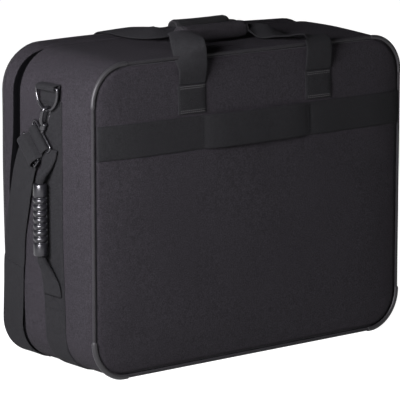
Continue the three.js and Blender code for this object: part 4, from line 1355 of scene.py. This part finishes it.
def make_ring(h):
    bar, drop = h.bar, h.bar - h.low
    half = h.half
    points = [(2 - half, 0), (-7, 0), (7, 0), (half - 2, 0), (half - 0.4, -0.7), (half, -2.5)]
    for t in np.linspace(0, 180, 15):
        points.append((polar(half, t)[0], -6 - polar(drop - 6, t)[1]))
    points += [(-half, -2.5), (0.4 - half, -0.7)]
    path = np.array([(h.x, SIDE_Y + y, bar + z) for y, z in points])
    line = spline(np.vstack([path, path[:1]]), 3)[:-1]
    wire = tube(f"ring_{h.word}", line, 2.2, METAL, 14, closed=True, up=(1, 0, 0))
    stand_in(wire, "metal", f"d_ring_{h.word}")

    s = h.side
    wall = side_point(s, SIDE_Y, [GIRTH_TOP - 6, GIRTH_TOP + 2], 2.6)
    loop = [
        tuple(wall[0]),
        tuple(wall[1]),
        (h.x - s * 7.4, SIDE_Y, bar + 3.2),
        (h.x - s * 2.5, SIDE_Y, bar + 4.1),
        (h.x + s * 2.6, SIDE_Y, bar + 2.9),
        (h.x + s * 3.8, SIDE_Y, bar - 0.6),
        (h.x + s * 1.4, SIDE_Y, bar - 3.6),
        (h.x - s * 3.0, SIDE_Y, bar - 3.0),
        (h.x - s * 7.2, SIDE_Y, bar - 1.4),
        (wall[1][0] + s * 1.4, SIDE_Y, GIRTH_TOP - 3),
    ]
    tab = webbing(f"ring_loop_{h.word}", spline(loop, 6), (0, 1, 0), 44, TAPE, WEBBING)
    stand_in(tab, "webbing", f"ring_tab_{h.word}")
    rows = []
    for z in (GIRTH_TOP - 3, GIRTH_TOP - 1):
        y = np.linspace(SIDE_Y - 20, SIDE_Y + 20, 12)
        rows.append((side_point(s, y, z, 3.6), (s, 0, 0)))
    sew(f"ring_loop_stitching_{h.word}", rows, "webbing", "case_body", pitch=2.6, length=1.9)


HOOK_BARREL = (
    (-20.4, 2.2), (-21, 4.2), (-22, 5.2), (-23.4, 5.4), (-24.4, 4.4), (-25.2, 4.3),
    (-29.6, 4.9), (-30.8, 4.7), (-31.3, 3.9), (-31.3, 2.7), (-28.2, 2.6),
)


def make_hook(h):
    bow_z = -2.3
    bow = [(7, -8), (7.1, -4)]
    for t in np.linspace(0, 180, 9):
        x, z = polar(7, t)
        bow.append((x, bow_z + z))
    bow += [(-7.1, -8), (-6.6, -14), (-4.6, -19.5), (-1.2, -24)]
    path = spline([(x, 0, z) for x, z in bow], 4)
    radius = np.interp(np.arange(len(path)), [0, 4, len(path) - 14, len(path) - 1], [1.7, 2.2, 2.4, 3.4])
    wire = tube(f"hook_wire_{h.word}", h.hung(path), radius, METAL, 12, up=h.heading(h.hung, (0, 1, 0)))
    rows = []
    for level, reach in HOOK_BARREL:
        aside = 0.9 if level > -24 else 0
        rows.append(level_ring(aside, 0, level, reach, reach, full_turn(24)))
    rows = h.hung(np.array(rows))
    barrel = grid(f"hook_barrel_{h.word}", rows, METAL, around=True, caps=True, flip=h.side < 0)
    stand_in(join(f"hook_{h.word}", [wire, barrel]), "metal", f"snap_hook_{h.word}")

    gate_path = [(7.0, 0, -19.4), (7.2, 0, -16), (7.0, 0, -12.5), (7.0, 0, -9.2)]
    gate = tube(f"gate_arm_{h.word}", h.hung(spline(gate_path, 4)), 2.0, METAL, 12, up=(0, 1, 0.3))
    thumb_path = h.hung([(7.4, 0, -15), (9.0, 0, -14.6), (9.9, 0, -14.4)])
    thumb = tube(f"gate_thumb_{h.word}", thumb_path, [1.5, 1.8, 1.2], METAL, 10, up=(0, 1, 0.3))
    stand_in(join(f"gate_{h.word}", [gate, thumb]), "metal", f"hook_gate_{h.word}")


def make_eye(h):
    half, deep, corner = 27, 5.5, 4.0
    loop = []
    for sy, sz, start in ((1, 1, 0), (-1, 1, 90), (-1, -1, 180), (1, -1, 270)):
        for t in np.linspace(start, start + 90, 5):
            y, z = polar(corner, t)
            loop.append((0, sy * (half - corner) + y, sz * (deep - corner) + z))
    wire = tube(f"eye_wire_{h.word}", h.on_eye(np.array(loop)), 1.7, METAL, 12, closed=True, up=(1, 0, 0))
    stem = h.hung([(0, 0, z) for z in (-29.2, -31, -33, -37.2)])
    stud = tube(f"eye_stud_{h.word}", stem, [2.2, 2.2, 2.5, 2.9], METAL, 14, up=(0, 1, 0))
    stand_in(join(f"eye_{h.word}", [wire, stud]), "metal", f"strap_eye_{h.word}")


def make_strap_end(h):
    """The strap's end: folded round the eye, over the adjuster in a full lobe and stitched down."""
    loop = [
        (1.1, -43.2), (1.0, -30), (0.9, -17), (2.6, -12.5), (4.4, -8.5), (4.0, -3.6), (0.4, -1.0),
        (-3.6, -2.4), (-5.4, -7), (-4.8, -12), (-2.2, -16), (-1.2, -19), (-4.4, -21.4), (-9.4, -24.5),
        (-13.0, -30), (-13.2, -36), (-10.0, -41.5), (-5.4, -44.2), (-2.2, -45.2),
    ]
    path = h.on_eye(spline([(x, 0, z) for x, z in loop], 5))
    across = unit(h.heading(h.on_eye, (0, 1, 0)))
    fold = webbing(f"strap_fold_{h.word}", path, across, 46, TAPE, WEBBING)
    stand_in(fold, "webbing", f"strap_end_{h.word}")
    rows = []
    for z in (-16.4, -18.2):
        points = h.on_eye(xyz(-2.8, np.linspace(-20, 20, 12), z))
        rows.append((points, h.heading(h.on_eye, (-1, 0, 0))))
    sew(f"strap_fold_stitching_{h.word}", rows, "webbing", f"ring_{h.word}", pitch=2.8, length=2.0)

    parts = []
    for y0, y1, z0, z1 in (
        (-27, -23.8, -8, 8),
        (23.8, 27, -8, 8),
        (-24, 24, 6.2, 8),
        (-24, 24, -8, -6.2),
        (-24, 24, -1.8, 1.8),
    ):
        points, faces = box_part(-6.8, -4.2, y0, y1, -32 + z0, -32 + z1)
        parts.append((h.on_eye(points), faces))
    frame_piece = merge_parts(f"adjuster_{h.word}", parts, METAL, 0.9)
    frame_piece.modifiers[0].segments = 3
    stand_in(frame_piece, "metal", f"strap_adjuster_{h.word}")


STRAP_LOW = 0.95


def strap_stations(h):
    """Stations of (point, across, width) of one half of the shoulder strap, from its end down to the base."""
    side = h.side
    top = h.on_eye([[0, 0, -44.0]])[0]
    across = unit(h.heading(h.on_eye, (0, 1, 0)))
    down = unit(top - h.on_eye([[0, 0, -40.0]])[0])
    skin = HALF + 1.2
    y_low = (low_high("strap_sling")[0][1] + low_high("strap_sling")[1][1]) / 2 + 6.5
    first = np.array([skin + 10.5, 53, 245])
    places = [top - down * 3, top + down * 4]
    places.append(0.55 * top + 0.45 * first * (side, 1, 1) + (1.2 * side, 2, 0))
    route = [tuple(first), (skin + 8.5, 66, 200), (skin + 6.5, 72, 163), (skin + 6, 75, 150)]
    route += [(skin + 4.6, 78, 132), (skin + 3, 81, 110), (skin + 1.2, 85, 84), (skin, y_low, 60)]
    for t in np.linspace(10, 90, 9):
        out, down_by = polar(CORNER + 1.3, t)
        route.append((HALF - CORNER + out, y_low, BASE + CORNER - down_by))
    route.append((150, y_low, STRAP_LOW))
    places += [np.array(at) * (side, 1, 1) for at in route]
    rows = []
    for i, at in enumerate(places):
        run = places[min(i + 1, len(places) - 1)] - places[max(i - 1, 0)]
        flat = unit(np.array([0, run[2], -run[1]])) if i < 6 else np.array([0.0, -1.0, 0.0])
        rows.append([*at, *(across if i < 2 else flat), 46 + 2 * min(i, 2)])
    return np.array(rows)


def make_strap(left, right):
    """The shoulder strap below its ends: one line, made as two upper runs and the run under the lid."""
    a, b = strap_stations(left), strap_stations(right)
    for rows in (a, b):
        rows[:2, 3:6] *= np.sign(-rows[0, 4])
    middle = [[0, a[-1, 1], STRAP_LOW, 0, -1, 0, WEB]]
    line = spline(np.vstack([a, middle, b[::-1]]), 8)
    line[:, 2] = np.maximum(line[:, 2], STRAP_LOW)
    cut = 8 * 6
    parts = (
        (f"strap_run_{left.word}", slice(0, cut + 1), "strap_upper_left"),
        ("strap_lower_run", slice(cut, len(line) - cut), "strap_sling"),
        (f"strap_run_{right.word}", slice(len(line) - cut - 1, len(line)), "strap_upper_right"),
    )
    for name, keep, node in parts:
        piece = webbing(name, line[:, :3], line[:, 3:6], line[:, 6], STRAP, WEBBING, 0.3, keep)
        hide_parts(node)
        if node == "strap_sling":
            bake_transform(piece)
        else:
            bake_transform(piece)


def make_fittings():
    hangers = [Hanger(-1, "left"), Hanger(1, "right")]
    for h in hangers:
        make_ring(h)
        make_hook(h)
        make_eye(h)
        make_strap_end(h)
    make_strap(*hangers)


# ---- Surroundings ----
def make_floor():
    s = Shader("floor")
    place = s.object_vector()
    tone = s.mix(s.noise(place, 1.5, 2), (0.2, 0.2, 0.2), (0.22, 0.22, 0.22))
    s.finish(tone, 0.9, s.bump(s.noise(place, 60, 2), 0.1, 0.1), specular=0.1)
    s.bsdf.inputs["Emission Color"].default_value = (1, 1, 1, 1)
    s.bsdf.inputs["Emission Strength"].default_value = 1.0
    mesh = bpy.data.meshes.new("floor")
    mesh.from_pydata(level_ring(0, 0, 0, 30, 30, full_turn(64)).tolist(), [], [list(range(64))])
    mesh.materials.append(s.material)
    floor = bpy.data.objects.new("floor", mesh)
    bpy.context.scene.collection.objects.link(floor)


def area_light(name, at, size, power, colour=(1, 1, 1), target=(0, 0, 0.25)):
    data = bpy.data.lights.new(name, "AREA")
    data.shape = "RECTANGLE"
    data.size, data.size_y = size
    data.energy = power
    data.color = colour
    lamp = bpy.data.objects.new(name, data)
    lamp.location = at
    lamp.rotation_euler = (Vector(target) - Vector(at)).to_track_quat("-Z", "Y").to_euler()
    bpy.context.scene.collection.objects.link(lamp)


def make_light():
    world = bpy.data.worlds.new("studio")
    world.use_nodes = True
    tree = world.node_tree
    background = tree.nodes["Background"]
    direction = tree.nodes.new("ShaderNodeTexCoord")
    parts = tree.nodes.new("ShaderNodeSeparateXYZ")
    ramp = tree.nodes.new("ShaderNodeMapRange")
    tree.links.new(direction.outputs["Generated"], parts.inputs[0])
    tree.links.new(parts.outputs["Z"], ramp.inputs["Value"])
    for key, value in (("From Min", 0.05), ("From Max", 0.9), ("To Min", 0.08), ("To Max", 0.05)):
        ramp.inputs[key].default_value = value
    tree.links.new(ramp.outputs[0], background.inputs["Strength"])
    background.inputs["Color"].default_value = (1, 1, 1, 1)
    bpy.context.scene.world = world
    bpy.context.scene.view_settings.view_transform = "Standard"
    area_light("key", (-1.35, -0.6, 0.75), (0.6, 0.6), 124, (0.96, 0.93, 1.0))
    area_light("fill", (-0.6, -3.2, 1.6), (2.0, 1.4), 3)


make_body()
make_top_seam()
make_padding()
make_linings()
make_piping()
make_guards()
make_sleeve()
make_anchors()
make_girth()
make_lid()
make_zip()
make_sliders()
make_handles()
make_grips()
make_fittings()
make_floor()
make_light()
